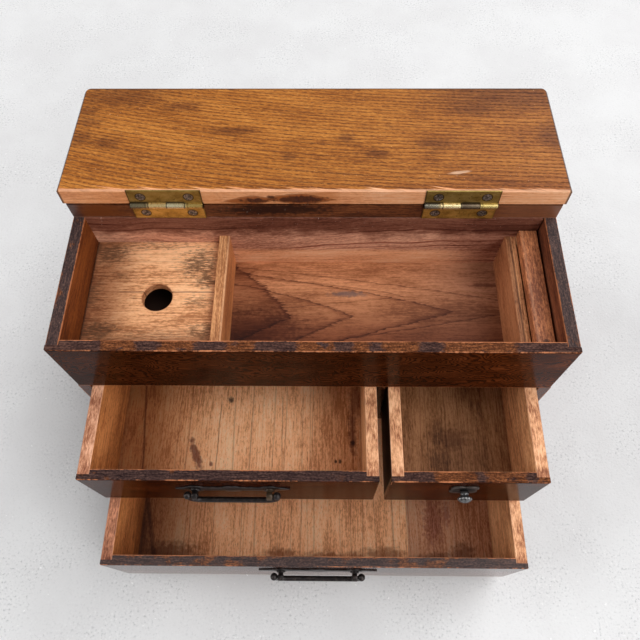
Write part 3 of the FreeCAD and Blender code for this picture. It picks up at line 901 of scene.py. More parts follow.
dust = amber.noise(x / 1.3, y / 1.3, 17.0, 2).rising(0.735, 0.765)
amber.lay(scratch.greater(dust) * 0.55, (0.85, 0.55, 0.36))
print("smoke laid")

# %% [markdown]
# ## The lid's hinge edge
#
# The edge at the hinges was planed after the varnish, so it is bare, pinkish and lighter. Where the plane ran
# along the sloping grain it lifted long thin wedges out of the varnish. Round a knot lie two pointed
# ovals of resin: brown at their rim, amber inside, with a rough dark heart.

# %% The planed edge and its knot
edge_level = grain_level(amber, x, z, y, 6.0, 0.9, 0.5, 0.6)
edge_lines = growth_lines(amber, years_across(amber, x, z + x * 0.02, y, 1.9, 4.0), x, 0.6, 0.4)
EDGE_TONES = ((0.95, 0.520, 0.290), (0.88, 0.405, 0.190), (0.60, 0.235, 0.098))
bare = amber.tones(edge_level, *EDGE_TONES, 0.25, 0.75)
bare = amber.multiply(edge_lines * 0.45, bare, (0.55, 0.36, 0.26))
bare = amber.multiply(x.falling(-70, -20) * 0.5, bare, (0.80, 0.66, 0.48))


def pointed_oval(centre, half_length, half_height, tilt=0.0):
    """0 on the rim of an oval with pointed ends, 1 in its middle, below 0 outside."""
    along = ((x - centre[0]) / half_length).size()
    up = ((z - centre[1] - (x - centre[0]) * tilt) / half_height).size()
    ragged = amber.shake(0.45, x / 6, z / 2.2, centre[0], 3, 0.6)
    return 1 - along ** 1.4 - up + ragged


flame = ((x + 64) * 0.15 + 209.5 - z).rising(-0.8, 1.2) * x.band(-66, 14, 5.0)
bare = amber.blend(flame * 0.6, bare, (0.52, 0.175, 0.050))
ovals = pointed_oval((-37, 212.2), 17, 4.2, 0.05).greater(pointed_oval((-8, 213.4), 22, 5.2, -0.03))
bare = amber.blend(ovals.rising(0.0, 0.30) * 0.9, bare, (0.30, 0.080, 0.020))
bare = amber.blend(ovals.band(0.03, 0.14, 0.06) * 0.7, bare, (0.155, 0.045, 0.012))
heart = amber.spot(x, z, (-8, 213.0), (14, 3.0), 1.0, 0.3)
heart = heart.greater(amber.spot(x, z, (-35, 212.0), (8, 1.8), 1.2, 0.4))
heart = heart.greater(amber.spot(x, z, (-25, 215.0), (2.5, 1.4), 0.8, 0.4))
bare = amber.blend(heart * 0.92, bare, (0.045, 0.013, 0.010))

saw = amber.shake(13, (x + y * 5) / 11, y / 30, 4.0, 2)
planed = (y + saw).falling(-0.6, 0.9).greater(amber.facing_y.falling(-0.90, -0.35))
amber.lay(planed * 0.92, bare)
arris_light = amber.facing_y.band(-0.85, -0.25, 0.1) * 0.45
amber.lay(arris_light, (0.88, 0.50, 0.32))
print("planed edge made")

# %% [markdown]
# ## The lid's outside
#
# The other faces carry the dark lacquer of the box. It is rubbed through to brown wood on the arrises, in
# short broken stretches.

# %% The lid's outside
outer_level = grain_level(amber, x, y, z, 9.0, 1.0, 0.6, 1.2)
OUTSIDE_TONES = ((0.105, 0.033, 0.013), (0.050, 0.015, 0.007), (0.020, 0.007, 0.004))
outside = amber.tones(outer_level, *OUTSIDE_TONES, 0.25, 0.75)
back_and_ends = y.rising(2.0, 4.0)
outer = amber.facing_z.falling(0.90, 0.97) * amber.facing_y.rising(-0.35, -0.1) * back_and_ends
outer = outer.greater(amber.facing_z.falling(-0.5, 0.1))
rub = amber.noise(x / 5, y / 5, z / 3, 3).rising(0.54, 0.66)
arris = amber.facing_z.band(-0.9, -0.25, 0.1) * rub
outside = amber.blend(arris * 0.75, outside, (0.30, 0.115, 0.045))
amber.lay(outer, outside)
lid_rough = 0.50 - outer * 0.22 + pores * 0.2
REAR_ARRIS, END_ARRIS = 87.4, 151.3
rim_gap = (REAR_ARRIS - y).lesser(END_ARRIS - x.size())
rim_line = rim_gap.falling(0.8, 1.7) * amber.facing_z.rising(-0.3, 0.1)
amber.lay(rim_line * 0.85, (0.060, 0.024, 0.012))
give(amber.show(lid_rough, ((level - 0.5) * 0.6 - pores) * (1 - outer), 0.12), lid)
print("lid finished")

# %% [markdown]
# ## Lacquer
#
# The outside of the box has a nearly black red-brown lacquer with a burl showing through: fine dark lines
# that run round in loops, like contour lines on a map. They are made as contour lines are, by cutting a
# smooth cloud at equal steps. On the upper edges the lacquer has turned purple-black, and every arris is
# rubbed down to orange wood. The rubbing is worked out from the distance to the arrises, with a noise
# that breaks its border.

# %% A lacquer that can be rubbed off along arrises
def lacquer(finish, along, across, depth, seed, tones, burl=0.42):
    """Colour and roughness of sound lacquer. Burl is how dark its fine lines are."""
    hills = finish.noise(along / 34 + seed, across / 19, depth / 19, 2, 0.45)
    contour = (hills * 26 + finish.shake(0.8, along / 3, across / 3, depth / 3, 2)).fraction()
    lines = contour.rising(0.35, 0.85) * contour.falling(0.88, 1.0)
    fleck = finish.noise(along / 3.5, across / 0.9, depth / 0.9 + seed, 3, 0.6)
    cloud = finish.noise(along / 30, across / 14, depth / 14 + seed * 2, 3, 0.55)
    level = 0.54 + (cloud - 0.5) * 1.0 + (fleck - 0.5) * 0.6 - lines * burl
    colour = finish.tones(level, *tones, high=0.75)
    speck = finish.noise(along / 0.9, across / 0.9, depth / 0.9, 2).rising(0.72, 0.77)
    colour = finish.blend(speck * 0.4, colour, (0.22, 0.09, 0.045))
    roughness = 0.12 + fleck * 0.14
    return colour, roughness


def worn_edge(finish, distance, reach, along, across):
    """1 at an arris, 0 beyond an uneven reach in millimetres."""
    nicks = finish.shake(reach * 1.6, along / 2.2, across / 2.2, 3.7, 3, 0.65)
    wide = finish.shake(reach * 2.4, along / 24, across / 24, 8.1, 2)
    return (distance + nicks + wide).falling(reach * 0.45, reach * 1.05)


RIM_BLACK = ((0.110, 0.060, 0.048), (0.045, 0.024, 0.022), (0.014, 0.008, 0.008))
RIM_BROWN = ((0.270, 0.095, 0.036), (0.110, 0.036, 0.014), (0.040, 0.013, 0.007))


def rim_paint(finish, along, across, seed, purple):
    """The top edges: purple-black lacquer where purple is 1, brown lacquer elsewhere."""
    fleck = finish.noise(along / 1.5, across / 0.9, seed, 3, 0.65)
    streak = finish.noise(along / 9, across / 1.0, seed + 4.0, 2, 0.6)
    level = 0.5 + (fleck - 0.5) * 1.1 + (streak - 0.5) * 0.8
    brown, black = (finish.tones(level, *tones, high=0.74) for tones in (RIM_BROWN, RIM_BLACK))
    return finish.blend(purple, brown, black)


def cloudy_mask(finish, along, across, seed, share):
    """Patches that cover about a share of the surface, with ragged borders."""
    cloud = finish.noise(along / 13 + seed, across / 9, seed, 5, 0.62)
    edge = 0.68 - 0.36 * share
    return cloud.rising(edge - 0.03, edge + 0.05)


print("lacquer ready")

# %% [markdown]
# ## Sides
#
# Seen from above, a side shows three things: its purple-black top edge, rubbed to orange on both arrises,
# its bare orange-brown wood inside the tray, and its glossy outside. The three meet in one board, so one
# finish holds all of them and picks by the direction that the surface faces.

# %% Finish the sides
INNER, OUTER, SIDE_TOP, FRONT_Y = 142.4, 150.0, 195.3, -92.5
SIDE_LACQUER = ((0.145, 0.043, 0.022), (0.100, 0.028, 0.015), (0.057, 0.017, 0.010))


def finish_side(name, node, hand, bare_tones, purple_share):
    """Hand is 1 for the right side and -1 for the left one, so that outwards is always up."""
    side = Finish(name, gloss=0.18)
    x, y, z = side.xyz
    out = x * hand
    side.colour, rough = lacquer(side, y * 0.4, z, x, 3.0 + hand, SIDE_LACQUER, 0.12)
    top_mask = side.facing_z.rising(0.6, 0.8)
    purple = cloudy_mask(side, y, x, 5.0 * hand, purple_share)
    side.lay(top_mask, rim_paint(side, y, x, 5.0 * hand, purple))
    inside, level = soft_wood(side, y, z, x, 7.0, bare_tones, 2.0 * hand, 5.0, 0.3)
    inner_mask = (out - INNER).falling(0.35, 0.6) * (1 - top_mask)
    side.lay(inner_mask, inside)
    below = SIDE_TOP - z
    inner_arris = worn_edge(side, out - INNER + below, 0.55, y, z)
    outer_arris = worn_edge(side, OUTER - out + below, 0.65, y, z)
    front_arris = worn_edge(side, y - FRONT_Y + (OUTER - out), 0.7, y, z)
    rubbed = inner_arris.greater(outer_arris).greater(front_arris)
    side.lay(rubbed * 0.9, (0.36, 0.125, 0.052))
    chips = side.noise(y / 1.2, x / 1.2, z / 1.2, 2).rising(0.68, 0.74) * top_mask
    side.lay(chips * 0.6, (0.26, 0.16, 0.12))
    rough = rough + rubbed.greater(inner_mask) * 0.45 + top_mask * 0.40
    give(side.show(rough, (level - 0.5) * 0.6 - rubbed * 0.4, 0.12), node)


LEFT_BARE = ((0.21, 0.056, 0.010), (0.140, 0.033, 0.006), (0.070, 0.015, 0.003))
RIGHT_BARE = ((0.28, 0.088, 0.038), (0.165, 0.048, 0.021), (0.070, 0.019, 0.009))
finish_side("left_side_wood", "left_side", -1, LEFT_BARE, 0.85)
finish_side("right_side_wood", "right_side", 1, RIGHT_BARE, 0.9)
print("sides finished")

# %% [markdown]
# ## Fronts
#
# The tray front and the three drawer fronts are made alike: a glossy face, a purple-black top edge and
# bare wood behind. The finish is made once for each board from its own box, so the rubbed lines lie on its
# own arrises. The purple patches of the top edges are where hands and sewing things didn't rub, so they
# are listed by place. Two fronts get a painted reflection of the floor that lightens them towards the right,
# and the lower part of the bottom one gets a grey-pink painted reflection of the floor.

# %% Finish the fronts
def box_mm(node):
    """The two corners of a node's box, in millimetres."""
    low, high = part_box(node)
    return low / MM, high / MM


def finish_front(
    name, node, face_tones, bare_tones, seed, purple_share, patches=(), foot=0.0, gloss=0.03, right_end=1.0
):
    """Foot is how far up the painted reflection of the floor goes, and right_end how many times the painted
    reflection lightens the right end.
    """
    low, high = box_mm(node)
    front = Finish(name, gloss=gloss)
    x, y, z = front.xyz
    front.colour, rough = lacquer(front, x, z, y, seed, face_tones)
    # Painted reflection of the floor: the right end is lightened right_end times.
    front.stain(x.rising(50, 120), (right_end,) * 3)
    top_mask = front.facing_z.rising(0.6, 0.8)
    purple = cloudy_mask(front, x, y, seed * 2.0, purple_share)
    shift = front.shake(11, x / 3.5, y / 2.5, seed, 4, 0.6)
    for start, end in patches:
        purple = purple.greater((x + shift).band(start, end, 1.6) * 0.9)
    front.lay(top_mask, rim_paint(front, x, y, seed, purple))
    back_mask = front.facing_y.rising(0.6, 0.8)
    inside, level = soft_wood(front, x, z, y, 6.0, bare_tones, seed)
    front.lay(back_mask, inside)
    below = high.z - z
    front_arris = worn_edge(front, y - low.y + below, 0.6, x, z)
    back_arris = worn_edge(front, high.y - y + below, 0.6, x, z)
    end = (x - low.x).lesser(high.x - x)
    end_arris = worn_edge(front, end + (y - low.y), 0.5, x, z)
    foot_arris = worn_edge(front, (z - low.z) + (y - low.y), 0.5, x, z) * 0.6
    rubbed = front_arris.greater(back_arris).greater(end_arris).greater(foot_arris)
    front.lay(rubbed * 0.9, (0.58, 0.215, 0.095))
    if foot:
        # Painted reflection of the floor on the lower part, in grey-pink.
        floor_reflection = (z - low.z + front.shake(12, x / 9, z / 9, seed, 3)).falling(4.0, foot)
        front.lay(floor_reflection * 0.5, (0.36, 0.24, 0.20))
    rough = rough + rubbed.greater(back_mask) * 0.45 + top_mask * 0.40
    give(front.show(rough, (level - 0.5) * 0.5 - rubbed * 0.4, 0.08), node)


BLACK_BURL = ((0.080, 0.019, 0.005), (0.043, 0.009, 0.002), (0.018, 0.004, 0.001))
BROWN_BURL = ((0.084, 0.017, 0.004), (0.041, 0.007, 0.001), (0.016, 0.003, 0.001))
TRAY_BARE = ((0.36, 0.150, 0.078), (0.24, 0.092, 0.048), (0.11, 0.038, 0.020))
PALE_BARE = ((0.66, 0.375, 0.20), (0.55, 0.285, 0.145), (0.34, 0.15, 0.070))
TRAY_PATCHES = (
    (-160, -118), (-99, -85), (-66, -48), (-32, -8), (12, 23), (32, 40), (60, 74), (114, 160),
)
RIGHT_PATCHES = ((40, 73), (98, 104), (128, 134))
BOTTOM_PATCHES = ((-150, -124), (-20, 0), (96, 150))
finish_front("tray_front_wood", "tray_front", BLACK_BURL, TRAY_BARE, 2.0, 0.22, TRAY_PATCHES, right_end=1.9)
finish_front("left_front_wood", "left_drawer_front", BROWN_BURL, PALE_BARE, 5.0, 0.95)
finish_front("right_front_wood", "right_drawer_front", BROWN_BURL, PALE_BARE, 8.0, 0.15, RIGHT_PATCHES)
finish_front(
    "bottom_front_wood", "bottom_drawer_front", BROWN_BURL, PALE_BARE, 11.0, 0.62, BOTTOM_PATCHES,
    foot=50.0, gloss=0.35, right_end=1.5,
)
print("fronts finished")

# %% [markdown]
# ## Carcass boards
#
# The base, the shelf, the partition, the back and the fixed board behind the rail show little more than
# their edges. They share the lacquer outside, rubbed brown in places on the front edges, and are bare where
# only the drawers touch them.

# %% Finish the carcass boards
frame_wood = Finish("carcass_wood", gloss=0.10)
x, y, z = frame_wood.xyz
frame_wood.colour, rough = lacquer(frame_wood, x, z, y, 14.0, BLACK_BURL)
bare, level = soft_wood(frame_wood, x, y, z, 6.0, TRAY_BARE)
SHOWN = 91.9
front_edge = (y + SHOWN).falling(0.0, 0.6)
seen = front_edge.greater((y - SHOWN).rising(0.0, 0.5)).greater((z - SIDE_TOP - 0.3).rising(0.0, 0.3))
frame_wood.colour = frame_wood.blend(seen, bare, frame_wood.colour)
rub = frame_wood.noise(x / 4, y / 4, z / 4, 4, 0.65).rising(0.56, 0.66) * front_edge
frame_wood.lay(rub * 0.5, (0.26, 0.095, 0.042))
frame_material = frame_wood.show(rough + (1 - seen) * 0.45, (level - 0.5) * 0.5, 0.08)
give(frame_material, "base_board", "drawer_shelf", "drawer_partition", "back_panel", "rear_top_board")
print("carcass boards finished")

# %% [markdown]
# ## Hinge rail
#
# The rail under the lid's edge is dark brown and a little glossy. Its left end is a warmer brown, and
# under the lid's knot the same knot goes on as a dark streak with a few white scratches.

# %% Finish the hinge rail
rail = Finish("rail_wood", gloss=0.25)
x, y, z = rail.xyz
RAIL_TONES = ((0.230, 0.075, 0.026), (0.130, 0.039, 0.015), (0.045, 0.013, 0.007))
rail.colour, level = soft_wood(rail, x, z, y, 6.5, RAIL_TONES, 0.0, 5.0, 0.35)
warm = rail.spot(x, z, (-131, 202), (14, 7), 0.5, 0.6) * 0.85
rail.lay(warm, (0.165, 0.046, 0.012))
grey_end = x.falling(-148, -141) * 0.7
rail.lay(grey_end, (0.075, 0.045, 0.042))
right_end = x.rising(100, 122) * 0.55
rail.lay(right_end, (0.280, 0.108, 0.053))
streak = rail.spot(x, z, (-22, 203.5), (30, 4.5), 0.9, 0.4)
rail.lay(streak * 0.88, (0.020, 0.008, 0.006))
near_streak = rail.spot(x, z, (-18, 202), (36, 6), 0.3, 0.5)
scratch = rail.noise(x / 0.9, z / 2.2, 4.0, 2).rising(0.70, 0.75) * near_streak
rail.lay(scratch * 0.7, (0.62, 0.50, 0.42))
foot = (z - SIDE_TOP + rail.shake(2.2, x / 5, 0.0, 0.0, 4, 0.65)).falling(0.1, 0.8)
rail.lay(foot * 0.55, (0.34, 0.20, 0.16))
give(rail.show(0.30 + level * 0.12, level - 0.5, 0.06), "hinge_rail")
print("rail finished")

# %% [markdown]
# ## Tray wall
#
# The wall behind the tray is flat-sawn cedar with a few dark red lines that rise to the right. Near its
# foot a wide pale band runs along it, with close thin lines: partly the wood's own pale band, partly
# painted light. The top is darker, partly stain and partly painted shade, with crumbs of glue and white dust.

# %% Finish the tray's rear wall
wall = Finish("tray_wall_wood", gloss=0.25)
x, y, z = wall.xyz
rise = x.rising(-75, 80) * 13
sway = wall.shake(9, x / 45, z / 40, 1.0, 2)
WALL_TONES = ((0.84, 0.460, 0.295), (0.62, 0.295, 0.185), (0.31, 0.120, 0.068))
wall.colour, level = soft_wood(wall, x, z - rise + sway, y, 6.4, WALL_TONES, 0.0, 2.0, 0.4, 0.68)
lines = growth_lines(wall, years_across(wall, x, z - rise + sway, y, 6.4, 2.0), x, 0.68)
wall.stain(lines * 0.95, (0.42, 0.17, 0.12))
close_years = years_across(wall, x, z + sway * 0.25, y, 2.1, 2.0, 0.8)
close_lines = growth_lines(wall, close_years, x, 0.55, 0.30)
pale = wall.tones(level, (0.97, 0.58, 0.34), (0.94, 0.470, 0.240), (0.66, 0.280, 0.130), 0.25, 0.75)
pale = wall.multiply(close_lines * 0.5, pale, (0.50, 0.30, 0.22))
# The pale band: partly the wood's own, partly painted light.
pale_band = (z + sway * 0.3).falling(158, 163) * x.rising(-62, -48) * x.falling(70, 125)
wall.lay(pale_band * 0.9, pale)
# The top is darker: partly stain, partly painted shade.
dark_top_edge = z + wall.shake(26, x / 16, z / 10, 2.0, 4, 0.6)
stain = dark_top_edge.rising(173, 185)
wall.stain(stain * 0.92, (0.25, 0.15, 0.13))
right_dark = wall.spot(x, z, (118, 172), (26, 22), 0.5, 0.7)
wall.stain(right_dark * 0.6, (0.42, 0.30, 0.30))
dust = wall.noise(x / 1.2, z / 1.2, 9.0, 2).rising(0.69, 0.74) * z.rising(180, 192)
wall.lay(dust * 0.6, (0.70, 0.50, 0.42))
give(wall.show(0.55 + level * 0.1, level - 0.5 - lines * 0.3, 0.1), "tray_rear_wall")
print("tray wall finished")

# %% [markdown]
# ## Tray floor
#
# The floor was sawn flat through the log, so its years show as tongues that point to the right, each with
# a dark, torn-looking border. A tongue is worked out from its tip: the further a place is above or below
# the tip's line, the further left the border lies. A noise that is stretched along the grain tears it.

# %% Finish the tray floor
tray = Finish("tray_floor_wood", gloss=0.25)
x, y, z = tray.xyz
TRAY_TONES = ((0.70, 0.310, 0.148), (0.51, 0.208, 0.092), (0.30, 0.105, 0.042))
level = grain_level(tray, x, y, z, 1.0, 0.8, 0.6, 1.0)
tray.colour = tray.tones(level, *TRAY_TONES)
torn = tray.shake(15, x / 13, y / 0.9, 2.0, 3, 0.6) + tray.shake(12, x / 20, y / 8, 5.0, 2)


def tongue(tip, above, above_square, under):
    """How far a place lies right of a tongue's border, in millimetres."""
    off = y - tip[1]
    up = off.greater(0.0)
    down = (0 - off).greater(0.0)
    return x - tip[0] + up * above + up * up * above_square + down * under + torn


# tip, how fast the border falls back above it (evenly and squared) and under it, strength, width of the zone
TONGUES = (
    ((-16, -46.2), 0.55, 0.011, 2.0, 0.85, 30), ((25.6, -44.6), 2.0, 0.050, 2.1, 0.75, 14),
    ((93.9, -41.3), 3.3, 0.055, 3.5, 0.80, 17), ((152, -38.0), 4.5, 0.070, 5.5, 0.60, 12),
    ((62, -30.0), 3.0, 0.30, 9.0, 0.45, 16),
)
for tip, above, above_square, under, strength, zone in TONGUES:
    past = tongue(tip, above, above_square, under)
    late_wood = past.rising(-zone, 0.5) * past.falling(0.0, 0.6)
    line = past.rising(-4.2, -0.6) * past.falling(0.0, 0.7)
    tray.stain(late_wood * 0.70 * strength, (0.36, 0.20, 0.13))
    tray.lay(line * 0.92 * strength, (0.100, 0.024, 0.011))
print("tongues drawn:", len(TONGUES))

# %% [markdown]
# ## Marks on the tray floor
#
# A blue-grey scrape lies beside the middle tongue and the far right corner is greyer. Painted shade
# darkens the floor beside and under the holed board, along the front and on the right, and the short
# compartment under the holed board is painted near black as its shade.

# %% Marks and painted shade on the tray floor
mark = tray.spot(x, y, (22, -28), (11, 2.0), 1.0, 0.5)
tray.lay(mark * 0.7, (0.115, 0.090, 0.095))
# Painted shade beside the holed board and under it.
near_left_shade = tray.spot(x, y, (-36, -54), (26, 12), 0.9, 0.5)
tray.stain(near_left_shade * 0.75, (0.34, 0.20, 0.15))
far_left_shade = x.falling(-58, -30)
tray.stain(far_left_shade * 0.8, (0.52, 0.46, 0.42))
streak = tray.spot(x, y, (116, -21), (13, 1.6), 1.0, 0.5)
tray.stain(streak * 0.7, (0.36, 0.22, 0.20))
greyer = tray.spot(x, y, (122, -14), (34, 16), 0.5, 0.8)
tray.stain(greyer * 0.5, (0.52, 0.46, 0.50))
front_shade = y.falling(-66, -18)
tray.stain(front_shade, (0.36, 0.24, 0.19))
right_shade = x.rising(20, 120) * 0.9
tray.stain(right_shade, (0.66, 0.66, 0.74))
# Painted shade: the compartment under the holed board is painted near black.
under_board_shade = x.falling(-60, -58)
tray.lay(under_board_shade, (0.030, 0.012, 0.007))
give(tray.show(0.55 + level * 0.1, level - 0.5, 0.1), "tray_floor")
print("tray floor finished")

# %% [markdown]
# ## Board with a finger hole
#
# This loose board is pale where it was handled and sooty where dirt settled: along the rear, at the
# right end and in the corners. The dirt lies in the pores, so it comes as short dark strokes along the
# grain, close together where the board is dirtiest. Painted shade darkens its edges, its left end and the
# strip along the tray front, and a painted shadow line runs along its joints.

# %% Finish the holed board
loose = Finish("holed_board_wood", gloss=0.25)
x, y, z = loose.xyz
BOARD_TONES = ((0.94, 0.530, 0.280), (0.79, 0.385, 0.180), (0.42, 0.165, 0.064))
loose.colour, level = soft_wood(loose, x, y, z, 6.5, BOARD_TONES, 1.0, 5.0, 0.3)
BOARD_LEFT, BOARD_RIGHT, BOARD_NEAR = -142.0, -61.8, -85.4
edge_gap = (x - BOARD_LEFT).lesser(BOARD_RIGHT - x).lesser(y - BOARD_NEAR)
# Painted shade along the board's ends and near edge, and over its front strip.
edge_shade = (edge_gap + loose.shake(10, x / 8, y / 8, 2.0, 4, 0.6)).falling(-2.0, 5.0)
front_strip_shade = (y + loose.shake(9, x / 9, y / 6, 8.0, 4)).falling(-82, -70)
loose.stain(edge_shade.greater(front_strip_shade) * 0.8, (0.40, 0.27, 0.21))
# Painted shade over the left end and the front part.
duller = x.falling(-136, -106).greater(y.falling(-84, -60))
loose.stain(duller, (0.44, 0.36, 0.33))
# Painted shadow on the strip next to the tray front.
loose.stain(y.falling(-85, -68) * 0.9, (0.40, 0.32, 0.28))
gap_shadow = edge_gap.falling(0.2, 1.2)
loose.stain(gap_shadow * 0.8, (0.18, 0.12, 0.10))
SOOTY = (
    ((-133, -12), (13, 10), 1.0), ((-74, -20), (13, 12), 1.0), ((-69, -33), (8, 5), 1.0),
    ((-133, -68), (14, 7), 1.0), ((-67, -68), (12, 6), 0.9), ((-73, -48), (9, 5), 0.8),
    ((-139, -42), (6, 12), 0.8), ((-108, -6), (34, 4), 0.7), ((-124, -29), (12, 3), 0.6),
    ((-100, -71), (26, 4), 0.6),
)
cloud = loose.noise(x / 16, y / 7, 6.0, 4, 0.6)
darkening = cloud.rising(0.46, 0.68) * 0.32
for centre, reach, strength in SOOTY:
    darkening = darkening.greater(loose.spot(x, y, centre, reach, 0.9, 0.7) * strength)
strokes = loose.noise(x / 5.5, y / 0.85, 3.0, 4, 0.65)
soot = (strokes + darkening * 0.16).rising(0.53, 0.68) * (darkening * 0.85 + 0.10)
loose.lay(soot * 0.90, (0.095, 0.040, 0.017))
wobble = loose.shake(0.9, x / 14, 0.0, 5.0, 2)
crack = (y + 40.7 + wobble).size().falling(0.1, 0.5) * x.rising(-126, -118)
loose.lay(crack * 0.75, (0.10, 0.040, 0.020))
HOLE_MIDDLE = (-98.4, -44.5)
near_hole = ((x - HOLE_MIDDLE[0]) ** 2 + (y - HOLE_MIDDLE[1]) ** 2).root()
loose.stain(near_hole.band(9.2, 10.2, 0.4) * 0.35, (0.50, 0.32, 0.24))
inside_hole = near_hole.falling(9.5, 9.8)
loose.stain(inside_hole * 0.35, (0.55, 0.38, 0.28))
give(loose.show(0.62, level - 0.5 - crack - soot * 0.3, 0.14), "finger_hole_board")
print("holed board finished")

# %% [markdown]
# ## Dividers and pocket cover
#
# The left divider is pale on top with an even paler right arris. The right divider has an orange-brown face
# and two strips on top: a dark one and a mottled tan one. The loose cover beside it is red-brown and
# speckled.

# %% Finish the dividers
part_wood = Finish("left_divider_wood", gloss=0.25)
x, y, z = part_wood.xyz
DIVIDER_TOP = ((0.78, 0.400, 0.185), (0.59, 0.268, 0.112), (0.34, 0.130, 0.048))
DIVIDER_FACE = ((0.70, 0.295, 0.115), (0.54, 0.205, 0.072), (0.33, 0.110, 0.038))
top, level = soft_wood(part_wood, y, x, z, 2.4, DIVIDER_TOP, 0.0, 3.0, 0.5, 0.65)
side_tone = soft_wood(part_wood, y, z, x, 7.0, DIVIDER_FACE, 3.0, 5.0, 0.35)[0]
part_wood.colour = part_wood.blend(part_wood.facing_z.rising(0.6, 0.8), side_tone, top)
RIGHT_ARRIS, NEAR_TOP = -54.7, 175
pale_arris = (x - RIGHT_ARRIS).size().falling(0.7, 1.2) * (z - NEAR_TOP).rising(0, 0.6)
part_wood.lay(pale_arris * 0.3, (0.80, 0.48, 0.28))
give(part_wood.show(0.55, level - 0.5, 0.08), "left_divider")

dark_part = Finish("right_divider_wood", gloss=0.25)
x, y, z = dark_part.xyz
facing_up = dark_part.facing_z.rising(0.5, 0.8)
side_tone, level = soft_wood(dark_part, y, z, x, 7.0, DIVIDER_FACE, 5.0, 5.0, 0.35)
STRIP_TONES = ((0.80, 0.39, 0.180), (0.55, 0.232, 0.100), (0.23, 0.085, 0.036))
strip_tone = soft_wood(dark_part, y, x, z, 2.0, STRIP_TONES, 2.0, 2.0, 0.5)[0]
STRIP_JOINT = 125.6
dark_strip = (x - STRIP_JOINT).falling(-0.2, 0.3) * 0.7
strip_tone = dark_part.multiply(dark_strip, strip_tone, (0.36, 0.28, 0.24))
groove = (x - STRIP_JOINT).size().falling(0.3, 0.8)
strip_tone = dark_part.blend(groove * 0.6, strip_tone, (0.075, 0.030, 0.016))
side_tone = dark_part.multiply(1.0, side_tone, (0.74, 0.72, 0.82))
dark_part.colour = dark_part.blend(facing_up, side_tone, strip_tone)
give(dark_part.show(0.55, level - 0.5, 0.08), "right_divider")
print("dividers finished")

# %% Finish the pocket cover and the hidden battens
cover = Finish("cover_wood", gloss=0.3)
x, y, z = cover.xyz
COVER_TONES = ((0.70, 0.275, 0.112), (0.46, 0.160, 0.064), (0.20, 0.058, 0.024))
level = grain_level(cover, y, x, z, 4.0, 0.5, 0.9, 0.8)
cover.colour = cover.tones(level, *COVER_TONES)
pores = cover.noise(x / 0.8, y / 1.6, z / 0.8, 3, 0.6).rising(0.56, 0.68)
cover.lay(pores * 0.45, (0.085, 0.028, 0.018))
COVER_JOINT = 131.4
pale_streak = (x - COVER_JOINT + cover.shake(2, y / 12, 0.0, 0.0, 2)).size().falling(0.3, 1.0)
cover.lay(pale_streak * 0.35, (0.50, 0.24, 0.13))
blots = cover.spot(x, y, (135.5, -80.5), (1.6, 1.6), 0.9, 0.4)
cover.lay(blots * 0.8, (0.045, 0.016, 0.012))
give(cover.show(0.5, level - 0.5 - pores * 0.4, 0.08), "pocket_cover")

hidden = Finish("batten_wood", gloss=0.3)
hidden.colour, level = soft_wood(hidden, hidden.y, hidden.x, hidden.z, 3.0, PALE_BARE)
give(hidden.show(0.6, level - 0.5, 0.08), "hole_board_ledges", "pocket_cleats")
print("tray fittings finished")

# %% [markdown]
# ## Drawer floors
#
# The drawers are of a soft tan wood. The floors have their grain from front to back, with thin dark lines far
# apart, pores like pin pricks, painted shade along the walls, plum-coloured stains and a few small knots.
# Each floor gets its own marks on top of what they share.

# %% What the drawer floors share
TAN = ((0.98, 0.620, 0.360), (0.97, 0.490, 0.245), (0.58, 0.240, 0.100))
WALL_THICKNESS = 7.7


def floor_board(name, node, tones, seed, spacing=9.0):
    """A tan board along Y, with painted shade along the walls. Returns the finish and its grain level."""
    low, high = box_mm(node)
    finish = Finish(name, gloss=0.2)
    x, y, z = finish.xyz
    finish.colour, level = soft_wood(finish, y, x, z, spacing, tones, seed, 7.0, 0.45, 0.84)
    pricks = finish.noise(x / 0.7, y / 2.4, seed, 3, 0.65).rising(0.58, 0.68)
    finish.stain(pricks * 0.6, (0.36, 0.22, 0.14))
    wall = (x - low.x - WALL_THICKNESS).lesser(high.x - WALL_THICKNESS - x)
    # Painted shade: the floor darkens towards the drawer's walls.
    wall_shade = (wall + finish.shake(9, x / 9, y / 9, seed, 4, 0.6)).falling(-2.0, 5.0)
    finish.stain(wall_shade * 0.6, (0.45, 0.31, 0.23))
    return finish, level


print("floor boards ready")

# %% Finish the left drawer's floor
left_floor, level = floor_board("left_floor_wood", "left_drawer_bottom", TAN, 2.0)
x, y = left_floor.x, left_floor.y


def thin_line(finish, place, lean, strength, start=-400.0, end=400.0, width=0.35):
    """A dark line from front to back: its x at y = -100, and how much x grows for each millimetre of y."""
    waver = finish.shake(1.6, finish.y / 16, place, 0.0, 2)
    gap = (finish.x - place - (finish.y + 100) * lean + waver).size()
    return gap.falling(width * 0.4, width * 1.8) * finish.y.band(start, end, 3.0) * strength


LEFT_LINES = (
    (-66.6, 0.012, 0.7, -140, -86), (-22.5, -0.02, 0.45, -140, -80), (-44.4, -0.015, 0.4, -140, -98),
    (-133.0, 0.28, 0.8, -136, -124), (23.6, -0.04, 0.7, -112, -94), (-95.0, 0.01, 0.35, -140, -75),
    (-3.0, -0.01, 0.3, -140, -75), (12.0, -0.02, 0.3, -140, -90),
)
lines = thin_line(left_floor, -119.7, -0.085, 0.9, width=0.6)
for line in LEFT_LINES:
    lines = lines.greater(thin_line(left_floor, *line))
left_floor.stain(lines * 0.8, (0.24, 0.12, 0.075))
plum = left_floor.spot(x - y * -0.38, y, (-128.2, -124), (2.6, 11), 1.0, 0.4)
plum = plum.greater(left_floor.spot(x, y, (26.5, -106), (2.6, 15), 1.2, 0.5) * 0.8)
plum = plum.greater(left_floor.spot(x, y, (-70.6, -130), (1.2, 1.6), 0.8, 0.5))
